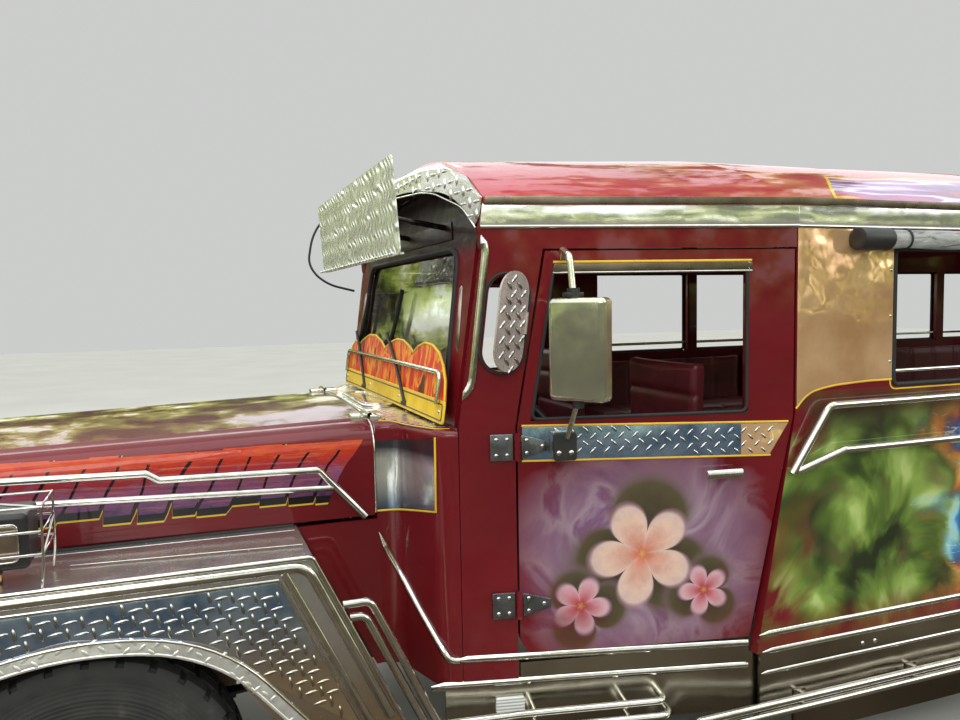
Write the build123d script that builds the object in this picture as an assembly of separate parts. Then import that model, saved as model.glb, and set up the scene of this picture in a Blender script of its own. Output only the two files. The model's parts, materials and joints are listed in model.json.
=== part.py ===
from build123d import *
import math
import os

# A jeepney: long open-sided passenger body, short two-door cab, squared bonnet and fenders.
# Millimetres. +X forward, +Y to the vehicle's left, +Z up, wheels stand on z = 0.
os.makedirs("parts", exist_ok=True)

# Overall sizes
half_width = 950
wall = 35
sheet = 10
joint_gap = 6

# Wheels and axles
front_axle_x = 2500
rear_axle_x = -1200
tyre_radius = 365
front_wheel_y = 760
rear_wheel_y = 790
kingpin_y = 640
steer_arm = 150
tie_rod_z = 286

# Ladder frame
rail_y = 400
rail_half = 30
rail_low = 430
rail_high = 575
rail_skin = 10
floor_low = 575
floor_high = 600

# Cab side plane: it leaves the passenger side at the seam and tapers inward to the front
seam_x = 576
cab_taper = 12
taper_slope = math.tan(math.radians(cab_taper))
cab_front_x = 1550
belt_z = 1177
door_top_z = 1662
door_low_z = 520
door_front_low_x = 1389
door_front_top_x = 1306
seam_low_x = 706
sill_z = 1243
header_low_z = 1668
roof_edge_z = 1808
roof_front_x = 1473
roof_front_lean = 0.2
crown_rear = 255
crown_seam = 236
crown_front = 200
body_rear_x = -3000
screen_rake = 8
screen_base_z = 1172
screen_base_x = 1550

# Hood and cowl
hood_rear_x = 1736
hood_front_x = 2955
hood_nose_low_x = 2918
hood_rear_half = 500
hood_front_half = 470
hood_rear_z = 1172
hood_front_z = 1140
hood_low_z = 897
hood_crown = 18
hinge_x = 1733
hinge_z = 1190
fender_in_y = 478
fender_out_y = 880
fender_in_z = 888
fender_top_z = 913
arch_x = 2520

# Side windows of the passenger body
window_count = 5
window_first_x = 200
window_length = 560
window_post = 62


def block(x0, x1, y0, y1, z0, z1):
    # A box between two corners
    size = Box(x1 - x0, y1 - y0, z1 - z0)
    return Pos((x0 + x1) / 2, (y0 + y1) / 2, (z0 + z1) / 2) * size


def side_plate(points, y0, y1):
    # A plate whose outline is drawn in x and z, and which is thick in y
    outline = Polyline(*[(x, z) for x, z in points], close=True)
    face = make_face(Plane.XZ * outline)
    return Pos(0, y0, 0) * extrude(face, amount=y1 - y0, dir=(0, 1, 0))


def plan_plate(points, z0, z1):
    # A plate whose outline is drawn in x and y, and which is thick in z
    face = make_face(Polyline(*points, close=True))
    return Pos(0, 0, z0) * extrude(face, amount=z1 - z0, dir=(0, 0, 1))


def cross_plate(points, x0, x1):
    # A plate whose outline is drawn in y and z, and which is thick in x
    face = make_face(Plane.YZ * Polyline(*points, close=True))
    return Pos(x0, 0, 0) * extrude(face, amount=x1 - x0, dir=(1, 0, 0))


def rod(start, end, radius):
    # A straight round bar from one point to another
    line = Line(start, end)
    plane = Plane(origin=start, z_dir=Vector(*end) - Vector(*start))
    return extrude(plane * Circle(radius), amount=line.length)


def tube(points, radius, bend):
    # A bent bar: straight runs joined by arcs
    path = FilletPolyline(*points, radius=bend)
    plane = Plane(origin=points[0], z_dir=path % 0)
    return sweep(plane * Circle(radius), path=path)


def turned(points, x, y, z):
    # A body of revolution about an axis along Y, its profile drawn as radius and offset
    face = make_face(Plane.YZ * Polyline(*[(o, r) for r, o in points], close=True))
    return Pos(x, y, z) * revolve(face, Axis.Y)


def mirrored(part):
    return mirror(part, about=Plane.XZ)


def pair(part):
    return part + mirrored(part)


def save(name, part):
    export_step(part, "parts/" + name + ".step")


def cab_u(x):
    # Distance forward along the cab side plane for a given x
    return (x - seam_x) / math.cos(math.radians(cab_taper))


def cab_y(x):
    # The left face of the cab side plane at a given x
    return half_width - (x - seam_x) * taper_slope


def on_cab_side(part):
    # From the drawing plane, with y outward from the skin, to the tapered left side
    return Location((seam_x, half_width, 0), (0, 0, -cab_taper)) * part


def cab_plate(points, n0, n1):
    # A plate of the cab side: its outline in x and z, thick from n0 to n1 outward of the skin
    return on_cab_side(side_plate([(cab_u(x), z) for x, z in points], n0, n1))


# Ladder frame: two channels open to the inside, and the members that cross between them
rail_front_x = 3120
rail_rear_x = -3040
rail = block(rail_rear_x, rail_front_x, rail_y - rail_half, rail_y + rail_half, rail_low, rail_high)
rail -= block(rail_rear_x - 1, rail_front_x + 1, rail_y - rail_half - 1, rail_y + rail_half - rail_skin,
              rail_low + rail_skin, rail_high - rail_skin)
save("chassis_rails", pair(rail))
# Each member's place along the frame, and its lower edge
crossmembers = [(-2960, 520), (-2400, 520), (-1840, 520), (-1500, 520), (-900, 520), (-320, 520)]
crossmembers += [(260, 520), (800, 520), (1300, 520), (1780, 440), (2220, 440), (2760, 440)]
member_half = rail_y + rail_half - rail_skin
members = Part()
for x, low in crossmembers:
    member = block(x - 30, x + 30, -member_half, member_half, low, low + 45)
    members += member - block(x - 22, x + 31, -member_half - 1, member_half + 1, low + 8, low + 37)
save("cross_members", members)

# Leaf springs: front and rear eye places along the frame, and the eyes' height
front_spring = (2060, 2940, 405)
rear_spring = (-1780, -620, 395)


def leaf_spring(x0, x1, eye_z, centre_z, leaves):
    # A pack of curved leaves with rolled eyes, each eye between two hanger plates
    middle = (x0 + x1) / 2
    half = (x1 - x0) / 2
    drop = eye_z - centre_z
    radius = (half * half + drop * drop) / (2 * drop)
    pack = Part()
    for level in range(leaves):
        outer = radius + 9 * (level + 1)
        inner = radius + 9 * level
        ring = Plane.XZ * Circle(outer) - Plane.XZ * Circle(inner)
        leaf = Pos(middle, rail_y + 30, centre_z + radius) * extrude(ring, amount=60)
        reach = half * (1 - 0.2 * level)
        leaf &= block(middle - reach, middle + reach, 0, 900, centre_z - 60, eye_z + 5)
        pack += leaf
    for x in (x0, x1):
        pack += Pos(x, rail_y, eye_z) * Rot(90, 0, 0) * Cylinder(18, 60)
        for y in (rail_y - rail_half - 8, rail_y + rail_half):
            plate = block(x - 22, x + 22, y, y + 8, eye_z - 22, rail_low)
            pack += fillet(plate.edges().filter_by(Axis.Y).sort_by(Axis.Z)[:2], 18)
    return pack


front_pack = leaf_spring(*front_spring, 388, 3)
rear_pack = leaf_spring(*rear_spring, 312, 3)
save("leaf_springs", pair(front_pack + rear_pack))

# Front axle: a dropped beam with an eye for each kingpin
beam_points = [(-kingpin_y, 345), (-560, 345), (-500, 300), (500, 300), (560, 345), (kingpin_y, 345)]
beam_points += [(kingpin_y, 385), (540, 385), (480, 355), (-480, 355), (-540, 385), (-kingpin_y, 385)]
beam = cross_plate(beam_points, front_axle_x - 35, front_axle_x + 35)
for side in (-1, 1):
    beam += Pos(front_axle_x, side * kingpin_y, 365) * Cylinder(35, 40)
    beam -= Pos(front_axle_x, side * kingpin_y, 365) * Cylinder(18.05, 60)
save("front_axle", beam)

# Rear axle with its differential, and the propeller shaft that drives it
axle = Pos(rear_axle_x, 0, tyre_radius) * Rot(90, 0, 0) * Cylinder(42, 2 * (rear_wheel_y - 90))
axle += Pos(rear_axle_x, 0, tyre_radius) * Rot(90, 0, 0) * Cylinder(24, 2 * (rear_wheel_y + 20))
bulge = Pos(rear_axle_x, 0, tyre_radius) * Sphere(145)
bulge &= block(rear_axle_x - 110, rear_axle_x + 150, -150, 150, 200, 520)
shaft = rod((1336, 0, 455), (rear_axle_x + 120, 0, tyre_radius + 10), 35)
save("rear_axle", axle + bulge + shaft)

# Engine and gearbox in one plain block
engine = block(1900, 2600, -260, 260, 495, 1000)
engine += block(1700, 1900, -150, 150, 495, 700)
engine += block(1340, 1700, -110, 110, 420, 570)
save("engine_block", engine)

# Fuel tank and exhaust
tank = block(-200, 560, -900, -500, 300, 540)
tank = fillet(tank.edges().filter_by(Axis.X), 60)
save("fuel_tank", tank)
exhaust_points = [(1950, -312, 700), (1950, -312, 396), (-260, -300, 396), (-560, -560, 396),
                  (-900, -560, 480), (-1500, -560, 480), (-2900, -560, 420)]
exhaust = tube(exhaust_points, 24, 70)
exhaust += block(1925, 1975, -300, -260, 680, 720)
exhaust += Pos(900, -306, 366) * Rot(0, 90, 0) * Cylinder(55, 500)
save("exhaust_pipe", exhaust)

# Floor, with the rear wheel housings
floor = block(body_rear_x + wall, 1500, -914, 914, floor_low, floor_high)
floor += block(body_rear_x, body_rear_x + wall, -439, 439, floor_low, floor_high)
toe_board = [(1499, floor_low), (1708, 772), (1708, 797), (1499, floor_high)]
floor += side_plate(toe_board, -440, 440)
floor -= block(1380, 1501, 760, 916, 0, 900)
floor -= block(1380, 1501, -916, -760, 0, 900)
housing_x0 = rear_axle_x - 430
housing_x1 = rear_axle_x + 430
housing = block(housing_x0 - 12, housing_x1 + 12, 668, 914, floor_low, 850)
housing -= block(housing_x0, housing_x1, 680, 915, floor_low - 1, 838)
floor -= pair(block(housing_x0 - 12, housing_x1 + 12, 668, 915, floor_low - 1, floor_high + 1))
save("wheel_housings", pair(housing))
trim_left = plan_plate([(seam_x - 20, 916), (seam_x - 20, 913), (1501, cab_y(1501) - wall - 9), (1501, 916)],
                       floor_low - 1, floor_high + 1)
floor -= pair(trim_left)
save("floor_pan", floor)

# Passenger side panels, from the slanted seam to the rear, with the rear wheel arch
panel_low_z = 475
seam_points = [(seam_low_x, panel_low_z), (seam_x, belt_z), (seam_x, sill_z)]
side_points = seam_points + [(body_rear_x, sill_z), (body_rear_x, panel_low_z)]
side_panel = side_plate(side_points, half_width - wall, half_width)
rear_arch = Pos(rear_axle_x, half_width, tyre_radius) * Rot(90, 0, 0) * Cylinder(430, 200)
side_panel -= rear_arch
save("side_panels", pair(side_panel))

# Posts between the side windows
posts = block(window_first_x, seam_x, half_width - wall, half_width, sill_z, header_low_z)
for count in range(1, window_count):
    x1 = window_first_x - count * (window_length + window_post) + window_post
    posts += block(x1 - window_post, x1, half_width - wall, half_width, sill_z, header_low_z)
window_end_x = window_first_x - window_count * (window_length + window_post) + window_post
posts += block(body_rear_x, window_end_x, half_width - wall, half_width, sill_z, header_low_z)
save("window_posts", pair(posts))

# Header rails along the top of the cab and the passenger body, their front ends raked back
brow_low_z = 1727


def front_edge_x(z):
    # The roof's front edge leans back as it rises
    return roof_front_x - (z - roof_edge_z) * roof_front_lean


header = block(body_rear_x, seam_x, half_width - wall, half_width, header_low_z, roof_edge_z)
cab_header = cab_plate([(seam_x, header_low_z), (1484, header_low_z), (front_edge_x(brow_low_z), brow_low_z),
                        (roof_front_x, roof_edge_z), (seam_x, roof_edge_z)], -wall, 0)
save("header_rails", pair(header + cab_header))

# Cab quarter panels ahead of the doors, with an oval vent in each
vent_x = 1420
vent_z = 1464
vent_width = 108
vent_height = 266
vent_lean = 7


def vent_shape(width, height, n0, n1):
    # An upright slot shape on the cab side, leaning with the windscreen pillar
    slot = SlotOverall(height, width)
    solid = extrude(Plane.XZ * (Rot(0, 0, 90) * slot), amount=n1 - n0)
    solid = Rot(0, -vent_lean, 0) * solid
    return on_cab_side(Pos(cab_u(vent_x), n1, vent_z) * solid)


body_low_z = 440
quarter_points = [(door_front_low_x + joint_gap, body_low_z), (cab_front_x, body_low_z)]
quarter_points += [(cab_front_x, screen_base_z)]
quarter_points += [(1481, header_low_z), (door_front_top_x + joint_gap, header_low_z)]
quarter_points += [(door_front_low_x + joint_gap, belt_z)]
quarter = cab_plate(quarter_points, -wall, 0)
quarter += vent_shape(vent_width + 14, vent_height + 14, 0, 3)
quarter -= vent_shape(vent_width, vent_height, -wall - 5, 5)
leaf_depth = 6
hinge_heights = (1120, 670)
for z in hinge_heights:
    quarter += cab_plate([(door_front_low_x + 14, z - 36), (door_front_low_x + 78, z - 36),
                          (door_front_low_x + 78, z + 36), (door_front_low_x + 14, z + 36)], 0, leaf_depth)
save("cab_quarters", pair(quarter))

# Vent flaps: oval lids hinged at their rear edge, at rest part open
flap_open = 38
flap_edge = vent_width / 2 + 4


def vent_flap(n0, n1):
    slot = SlotOverall(vent_height + 8, vent_width + 8)
    lid = extrude(Plane.XZ * (Rot(0, 0, 90) * slot), amount=n1 - n0)
    lid = Pos(flap_edge, n1, 0) * lid
    lid += Pos(0, 12, 0) * Cylinder(5, 60)
    lid = Pos(0, -12, 0) * lid
    lid = Rot(0, 0, flap_open) * lid
    lid = Rot(0, -vent_lean, 0) * (Pos(0, 12, 0) * lid)
    return on_cab_side(Pos(cab_u(vent_x) - flap_edge, 0, vent_z) * lid)


flap = vent_flap(6, 12)
save("vent_flap_left", flap)
save("vent_flap_right", mirrored(flap))

# Windscreen panel, raked back, with a wide opening and a single pane
screen_top_z = 1800


def screen_x(z):
    return screen_base_x - (z - screen_base_z) * math.tan(math.radians(screen_rake))


screen_plane = Plane(origin=(screen_base_x, 0, screen_base_z), x_dir=(0, 1, 0),
                     z_dir=(math.cos(math.radians(screen_rake)), 0, math.sin(math.radians(screen_rake))))
screen_height = (screen_top_z - screen_base_z) / math.cos(math.radians(screen_rake))
base_half = cab_y(screen_base_x) - wall - 8
top_half = cab_y(screen_x(screen_top_z)) - wall - 12
head_rise = 138
screen_outline = [Line((-base_half, 0), (base_half, 0)), Line((base_half, 0), (top_half, screen_height)),
                  ThreePointArc((top_half, screen_height), (0, screen_height + head_rise),
                                (-top_half, screen_height)),
                  Line((-top_half, screen_height), (-base_half, 0))]
glass_outline = Polyline((-605, 40), (605, 40), (567, 515), (-567, 515), close=True)
glass_face = make_face(glass_outline)
glass_face = fillet(glass_face.vertices(), 60)
screen = extrude(screen_plane * make_face(screen_outline), amount=-30)
screen -= extrude(screen_plane * glass_face, amount=-31) + extrude(screen_plane * glass_face, amount=1)
save("windscreen_frame", screen)
pane = extrude(screen_plane.offset(-10) * offset(glass_face, amount=-0.5), amount=-6)
save("windscreen_glass", pane)

# Cowl: the body ahead of the windscreen, sweeping out from the bonnet to the cab's width
cowl_front_x = hood_rear_x - joint_gap
cowl_rear_x = cab_front_x + 2
cowl_skin = 22
waist_x = 1672
shoulder_x = 1602


def cowl_face(inset):
    # The left half in plan: along the bonnet's end, out across the sweep, and back along the cab
    front = cowl_front_x - inset
    waist = (waist_x - 0.75 * inset, hood_rear_half - inset)
    shoulder = (shoulder_x - 0.79 * inset, cab_y(shoulder_x) - 0.85 * inset)
    rear = (cowl_rear_x, cab_y(cowl_rear_x) - inset)
    corner = (front, hood_rear_half - inset)
    side = FilletPolyline(corner, waist, shoulder, rear, radius=70 - inset)
    return make_face([side, Polyline(rear, (cowl_rear_x, 0), (front, 0), corner)])


cowl_solid = Pos(0, 0, body_low_z) * extrude(cowl_face(0), amount=screen_base_z - body_low_z)
top_edge = cowl_solid.edges().filter_by_position(Axis.Z, screen_base_z - 1, screen_base_z + 1)
top_edge = [edge for edge in top_edge if edge.center().Y > 300 and edge.center().X > cowl_rear_x + 1]
cowl_solid = fillet(top_edge, 20)
cowl_hollow = Pos(0, 0, body_low_z - 1) * extrude(cowl_face(cowl_skin), amount=screen_base_z - body_low_z - 21)
cowl_left = cowl_solid - cowl_hollow
cowl_left -= block(cowl_front_x - 40, cowl_front_x + 1, -1, 477, 400, 780)
# Below the bonnet the side runs on to the fender's slanted rear edge
apron_points = [(1700, body_low_z), (1742, body_low_z), (1963, hood_low_z - 12), (1700, hood_low_z - 12)]
cowl_left += side_plate(apron_points, hood_rear_half - 10, hood_rear_half)
# Fixed halves of the bonnet's hinges
hinge_radius = 7
for y in (361, 439):
    cowl_left += Pos(hinge_x, y, hinge_z) * Rot(90, 0, 0) * Cylinder(hinge_radius, 24)
    cowl_left += block(1686, hinge_x, y - 12, y + 12, screen_base_z - 1, hinge_z - 4)
save("cowl", pair(cowl_left))


# Roof: an arched shell, level over the passenger body and narrowing over the cab
def roof_face(x, half, crown):
    arc = ThreePointArc((-half, 0), (0, crown), (half, 0))
    base = Line((half, 0), (-half, 0))
    plane = Plane(origin=(x, 0, roof_edge_z), x_dir=(0, 1, 0), z_dir=(1, 0, 0))
    return plane * make_face([arc, base])


roof_skin = 28


def roof_loft(inset):
    # Three arches: the rear end, the seam and the front of the cab
    half = half_width - inset
    over = 60 if inset else 0
    rise = roof_skin if inset else 0
    rear = roof_face(body_rear_x - over, half, crown_rear - rise)
    seam = roof_face(seam_x, half, crown_seam - rise)
    front = roof_face(roof_front_x + 30, cab_y(roof_front_x + 30) - inset, crown_front - rise)
    return loft([rear, seam], ruled=True) + loft([seam, front], ruled=True)


raked_cut = side_plate([(front_edge_x(1600), 1600), (front_edge_x(2100), 2100), (1700, 2100), (1700, 1600)],
                       -1000, 1000)
gutter = block(body_rear_x, seam_x, half_width, half_width + 12, roof_edge_z - 18, roof_edge_z)
gutter += cab_plate([(seam_x, roof_edge_z - 18), (roof_front_x, roof_edge_z - 18),
                     (roof_front_x, roof_edge_z), (seam_x, roof_edge_z)], 0, 12)
roof = roof_loft(0) - roof_loft(wall) - raked_cut
save("roof_shell", roof + pair(gutter))

# Brow: a folded apron over the windscreen with a flat front, swept cheeks and an arched underside
brow_front_x = 1545
rake = math.atan(roof_front_lean)
brow_rear_plane = Plane(origin=(roof_front_x + 1, 0, roof_edge_z), x_dir=(0, 1, 0),
                        z_dir=(math.cos(rake), 0, math.sin(rake)))
brow_front_plane = Plane(origin=(brow_front_x, 0, roof_edge_z), x_dir=(0, 1, 0), z_dir=(1, 0, 0))
# Half profiles from the lower corner up to the middle: y, and height over the roof's edge
rear_profile = [(755, -82), (757, 0), (590, 84), (280, 177), (0, 203)]
front_profile = [(755, -81), (755, 4), (590, 110), (280, 127), (0, 137)]


def brow_section(plane, profile):
    other = [(-y, z) for y, z in reversed(profile[:-1])]
    return plane * make_face(Polyline(*(profile + other), close=True))


brow = loft([brow_section(brow_rear_plane, rear_profile), brow_section(brow_front_plane, front_profile)],
            ruled=True)
soffit_side = ThreePointArc((738, brow_low_z - 1), (660, 1795), (480, 1858))
soffit_top = ThreePointArc((480, 1858), (0, 1897), (-480, 1858))
soffit_far = ThreePointArc((-480, 1858), (-660, 1795), (-738, brow_low_z - 1))
soffit_face = make_face([soffit_side, soffit_top, soffit_far,
                         Line((-738, brow_low_z - 1), (738, brow_low_z - 1))])
brow -= Pos(1300, 0, 0) * extrude(Plane.YZ * soffit_face, amount=400, dir=(1, 0, 0))
cheek = plan_plate([(brow_front_x + 1, 412), (1478, 790), (1700, 790), (1700, 412)], 1600, 2100)
brow -= pair(cheek)
save("roof_brow", brow)

# Sun visor: a thin sheet standing ahead of the windscreen on three arms
visor_x = 1680
visor_half = 632
visor = block(visor_x, visor_x + 4, -visor_half, visor_half, 1662, 1938)
visor = fillet(visor.edges().filter_by(Axis.X), 18)
visor += block(visor_x - 14, visor_x + 4, -visor_half + 20, visor_half - 20, 1662, 1668)
visor = Pos(visor_x, 0, 1790) * Rot(0, 4, 0) * Pos(-visor_x, 0, -1790) * visor
for y in (-420, 0, 420):
    visor += rod((1472, y, 1757), (visor_x + 1, y, 1790), 9)
save("sun_visor", visor)

# Front fenders: a top falling to the bonnet, an upright face with the wheel arch, a slanted rear
fender_rear_top = 1978
fender_rear_low = 1753
fender_low_z = 446
fender_nose_x = 3020


def fender_shape(inset):
    # The outline seen from the side, pulled in by the sheet's thickness, under the sloping top
    top = fender_top_z - inset
    low = fender_low_z - (1 if inset else 0)
    points = [(fender_rear_low + 1.12 * inset, low), (fender_rear_top + 0.64 * inset, top),
              (2890 - 0.4 * inset, top), (fender_nose_x - inset, 800 - 0.6 * inset),
              (fender_nose_x - inset, 600 + 0.4 * inset), (2960 - 0.7 * inset, low)]
    solid = side_plate(points, fender_in_y + inset, fender_out_y - inset)
    above = [(fender_in_y - 9, fender_in_z - inset), (fender_out_y + 9, fender_top_z - inset),
             (fender_out_y + 9, 1000), (fender_in_y - 9, 1000)]
    return solid - cross_plate(above, 1700, 3100)


# The arch: steep at both ends, with a low crown between
arch_ends = FilletPolyline((arch_x - 529, 400), (arch_x - 305, 713), (arch_x, 765), (arch_x + 325, 690),
                           (arch_x + 420, 400), radius=220)
arch_face = make_face([arch_ends, Line((arch_x + 420, 400), (arch_x - 529, 400))])
arch_cut = Pos(0, fender_out_y - 40, 0) * extrude(Plane.XZ * arch_face, amount=80, dir=(0, 1, 0))
lip_face = offset(arch_face, amount=30)
lip = Pos(0, fender_out_y, 0) * extrude(Plane.XZ * lip_face, amount=4, dir=(0, 1, 0))
lip &= block(1700, 3000, fender_out_y - 5, fender_out_y + 9, fender_low_z, 900)
fender = fender_shape(0) - fender_shape(sheet) + lip - arch_cut
fender -= block(arch_x, 3100, fender_in_y - 8, fender_out_y + 20, 400, 590)
save("front_fenders", pair(fender))

# Grille: an upright panel with tall slots under the bonnet's nose
grille_x = 2965
grille_half = 470
grille_low_z = rail_high + 2
grille_high_z = 1138
grille_face = make_face(Polyline((-grille_half, grille_low_z), (grille_half, grille_low_z),
                                 (grille_half, grille_high_z), (-grille_half, grille_high_z), close=True))
grille_face = fillet(grille_face.vertices().sort_by(Axis.Y)[-2:], 60)
grille = Pos(grille_x, 0, 0) * extrude(Plane.YZ * grille_face, amount=12)
grille_rim = offset(grille_face, amount=-16)
grille += Pos(grille_x + 12, 0, 0) * extrude(Plane.YZ * (grille_face - grille_rim), amount=18)
slot_face = Plane.YZ * (Rot(0, 0, 90) * SlotOverall(440, 50))
slot_edge = Plane.YZ * (Rot(0, 0, 90) * SlotOverall(452, 62))
for count in range(-4, 5):
    place = Pos(grille_x, count * 88, 860)
    grille += place * extrude(slot_edge, amount=20)
    grille -= Pos(-5, 0, 0) * place * extrude(slot_face, amount=40)
save("grille", grille)

# Head lamps on the fender noses and box lamps on the fender tops
lamps = Part()
headlamp = Pos(fender_nose_x + 35, 680, 715) * Rot(0, 90, 0) * Cylinder(92, 70)
headlamp = fillet(headlamp.edges().sort_by(Axis.X)[-1], 14)
box_lamp = block(2590, 2770, 690, 830, 950, 1075)
box_lamp = fillet(box_lamp.edges(), 12)
box_lamp += Pos(2680, 760, 930) * Cylinder(22, 46)
save("front_lamps", pair(headlamp + box_lamp))

# Front bumper on the rails' ends, with a tow eye under each and two holes for a number plate
tow_eye_x = 3140
tow_eye_z = 398
tow_eye_radius = 16
plate_hole_y = 120
plate_hole_radius = 4
bumper = block(3120, 3200, -900, 900, 430, 560)
bumper = fillet(bumper.edges().filter_by(Axis.Y), 25)
bumper -= block(3110, 3180, -870, 870, 450, 540)
for side in (-1, 1):
    bumper += block(rail_front_x, 3185, side * rail_y - 25, side * rail_y + 25, 445, 545)
    eye = block(3100, 3180, side * rail_y - 10, side * rail_y + 10, 365, 430)
    bumper += eye - Pos(tow_eye_x, side * rail_y, tow_eye_z) * Rot(90, 0, 0) * Cylinder(tow_eye_radius, 40)
    bumper -= Pos(3190, side * plate_hole_y, 495) * Rot(0, 90, 0) * Cylinder(plate_hole_radius, 60)
save("front_bumper", bumper)

# Lower side skirts: sills under the doors, then a valance to the rear with the wheel opening
sill_rear_x = seam_low_x + 7
skirt = block(body_rear_x, seam_low_x - 12, half_width - 12, half_width - 2, 290, panel_low_z)
skirt -= rear_arch
skirt += block(-700, 560, half_width - 20, half_width - 10, 190, 292)
cab_sill = cab_plate([(sill_rear_x, 300), (1600, 300), (1600, body_low_z - 4), (door_front_low_x, body_low_z - 4),
                      (door_front_low_x, 498), (sill_rear_x, 498)], -20, -2)
save("side_skirts", pair(skirt) + pair(cab_sill))

# Step rails: pairs of tubes along the passenger side and below each door, and two behind each fender
step_rail = Part()
for z, start in ((335, 930), (305, 900)):
    points = [(start + 60, 962, z - 70), (start, 985, z), (-690, 985, z), (-690, half_width - 1.9, z)]
    step_rail += tube(points, 11, 22)
# Each tube's start on the fender's slanted edge, its reach back, its height along the cab and its offset
for start_x, start_z, reach, z, out in ((1894, 752, 72, 378, 60), (1877, 716, 40, 348, 86)):
    knee_x = start_x - reach - 0.482 * (start_z - z)
    points = [(start_x, 800, start_z), (start_x - reach, 800, start_z), (knee_x, 800, z)]
    reach_in = (out + 1.99) * math.cos(math.radians(cab_taper)) ** 2
    points += [(1420, cab_y(1420) + out, z), (1000, cab_y(1000) + out, z)]
    points += [(1000 - reach_in * taper_slope, cab_y(1000) + out - reach_in, z)]
    step_rail += tube(points, 11, 30)
save("step_rails", pair(step_rail))

# Side rails: two bent chrome tubes over the passenger side panel
side_rail = Part()
for z, bend_x, foot_x, foot_z in ((1202, 474, 598, 1008), (1066, 415, 580, 1012)):
    points = [(foot_x, 966, foot_z), (bend_x, 978, z), (-2900, 978, z), (-2960, 962, z - 90)]
    side_rail += tube(points, 12, 30)
    for x in (0, -700, -1400, -2100, -2800):
        side_rail += rod((x, half_width, z), (x, 978, z), 7)
    side_rail += rod((foot_x - 6, half_width, foot_z + 8), (foot_x - 6, 968, foot_z + 8), 7)
save("side_rails", pair(side_rail))

# Rear end: two corner panels and a header about the open entrance, and a step below it
entrance_half = 440
corner = block(body_rear_x, body_rear_x + wall, entrance_half, half_width - wall, panel_low_z, roof_edge_z)
corners = pair(corner)
for y in (560, 800):
    corners -= Pos(body_rear_x + wall / 2, y, 640) * Rot(0, 90, 0) * Cylinder(plate_hole_radius, 60)
save("rear_corners", corners)
rear_header = roof_face(body_rear_x + 1, half_width - wall - 2, crown_rear - roof_skin - 3)
save("rear_header", extrude(rear_header, amount=wall))
step = block(-3200, -3010, -640, 640, 380, 420)
step = fillet(step.edges().filter_by(Axis.Z).sort_by(Axis.X)[:2], 40)
for side in (-1, 1):
    step += block(-3160, rail_rear_x - 0.5, side * rail_y - 25, side * rail_y + 25, 420, 520)
save("rear_step", step)



def ceiling_z(x, y):
    # The height of the passenger body's ceiling
    part = (x - body_rear_x + 60) / (seam_x - body_rear_x + 60)
    crown = crown_rear - roof_skin + part * (crown_seam - crown_rear)
    half = half_width - wall
    radius = (half * half + crown * crown) / (2 * crown)
    return roof_edge_z + crown - radius + math.sqrt(radius * radius - y * y)


# Grab rails: two along the ceiling and one each side of the entrance
grab_y = 330
grab = rod((-2850, grab_y, 1900), (450, grab_y, 1900), 13)
for x in (400, -680, -1760, -2800):
    grab += rod((x, grab_y, 1900), (x, grab_y, ceiling_z(x, grab_y + 9) - 0.2), 9)
handle_x = -3070
grab += rod((handle_x, 470, 690), (handle_x, 470, 1650), 14)
for z in (720, 1620):
    grab += rod((handle_x, 470, z), (body_rear_x, 470, z), 10)
save("grab_rails", pair(grab))

# Benches along both sides: a front board, a top board and a back rail
bench_x0 = -2900
bench_x1 = 420
bench = block(bench_x0, bench_x1, 520, 536, floor_high, 880)
bench += block(bench_x0, bench_x1, 520, 914, 880, 900)
save("bench_frames", pair(bench))
cushion = block(bench_x0 + 10, bench_x1 - 10, 524, 860, 901, 985)
back_pad = block(bench_x0 + 10, bench_x1 - 10, 866, 912, 905, 1225)
save("bench_cushions", pair(cushion + back_pad))

# Cab seats and the dashboard with the steering column
seat = block(700, 1130, 190, 640, 800, 900)
seat += block(640, 699, 190, 640, 830, 1330)
seat_base = block(720, 1110, 230, 600, floor_high, 799)
save("cab_seats", pair(seat))
save("seat_boxes", pair(seat_base))
dash = block(1400, 1520, -680, 680, 1010, 1140)
dash = fillet(dash.edges().filter_by(Axis.Y).sort_by(Axis.X)[:2], 30)
wheel_centre = Vector(1175, 400, 1105)
column_dir = Vector(math.cos(math.radians(38)), 0, -math.sin(math.radians(38)))
column_start = wheel_centre + column_dir * 45
column_end = wheel_centre + column_dir * 470
dash += block(1405, 1435, 380, 420, 920, 1011)
dash += rod(column_start, column_end, 24)
save("dashboard", dash)

# Rolled rain curtains under the roof edge
roll_front_x = 390
roll_rear_x = -2880
roll_z = 1691
roll = Pos((roll_front_x + roll_rear_x) / 2, 985, roll_z) * Rot(0, 90, 0) * Cylinder(32, roll_front_x - roll_rear_x)
for x in (200, -500, -1200, -1900, -2600):
    roll += block(x, x + 16, half_width, 960, roll_z - 10, roll_z + 40)
save("roll_curtains", pair(roll))


# Bonnet: a shell with its own sides and a raised middle, hinged at its rear edge
def hood_face(x, half, top, inset):
    radius = 70 - inset
    half = half - inset
    top = top - inset
    crease = half - 88
    low = hood_low_z - (3 if inset else 0)
    shoulder = math.sqrt(0.5) * radius
    side = [Line((half, low), (half, top - radius)),
            ThreePointArc((half, top - radius), (half - radius + shoulder, top - radius + shoulder),
                          (half - radius, top)),
            Line((half - radius, top), (crease, top)), Line((crease, top), (crease - 12, top + 7))]
    crown = ThreePointArc((crease - 12, top + 7), (0, top + hood_crown), (12 - crease, top + 7))
    path = side + [crown] + [mirror(edge, about=Plane.YZ) for edge in side] + [Line((-half, low), (half, low))]
    plane = Plane(origin=(x, 0, 0), x_dir=(0, 1, 0), z_dir=(1, 0, 0))
    return plane * make_face(path)


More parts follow.
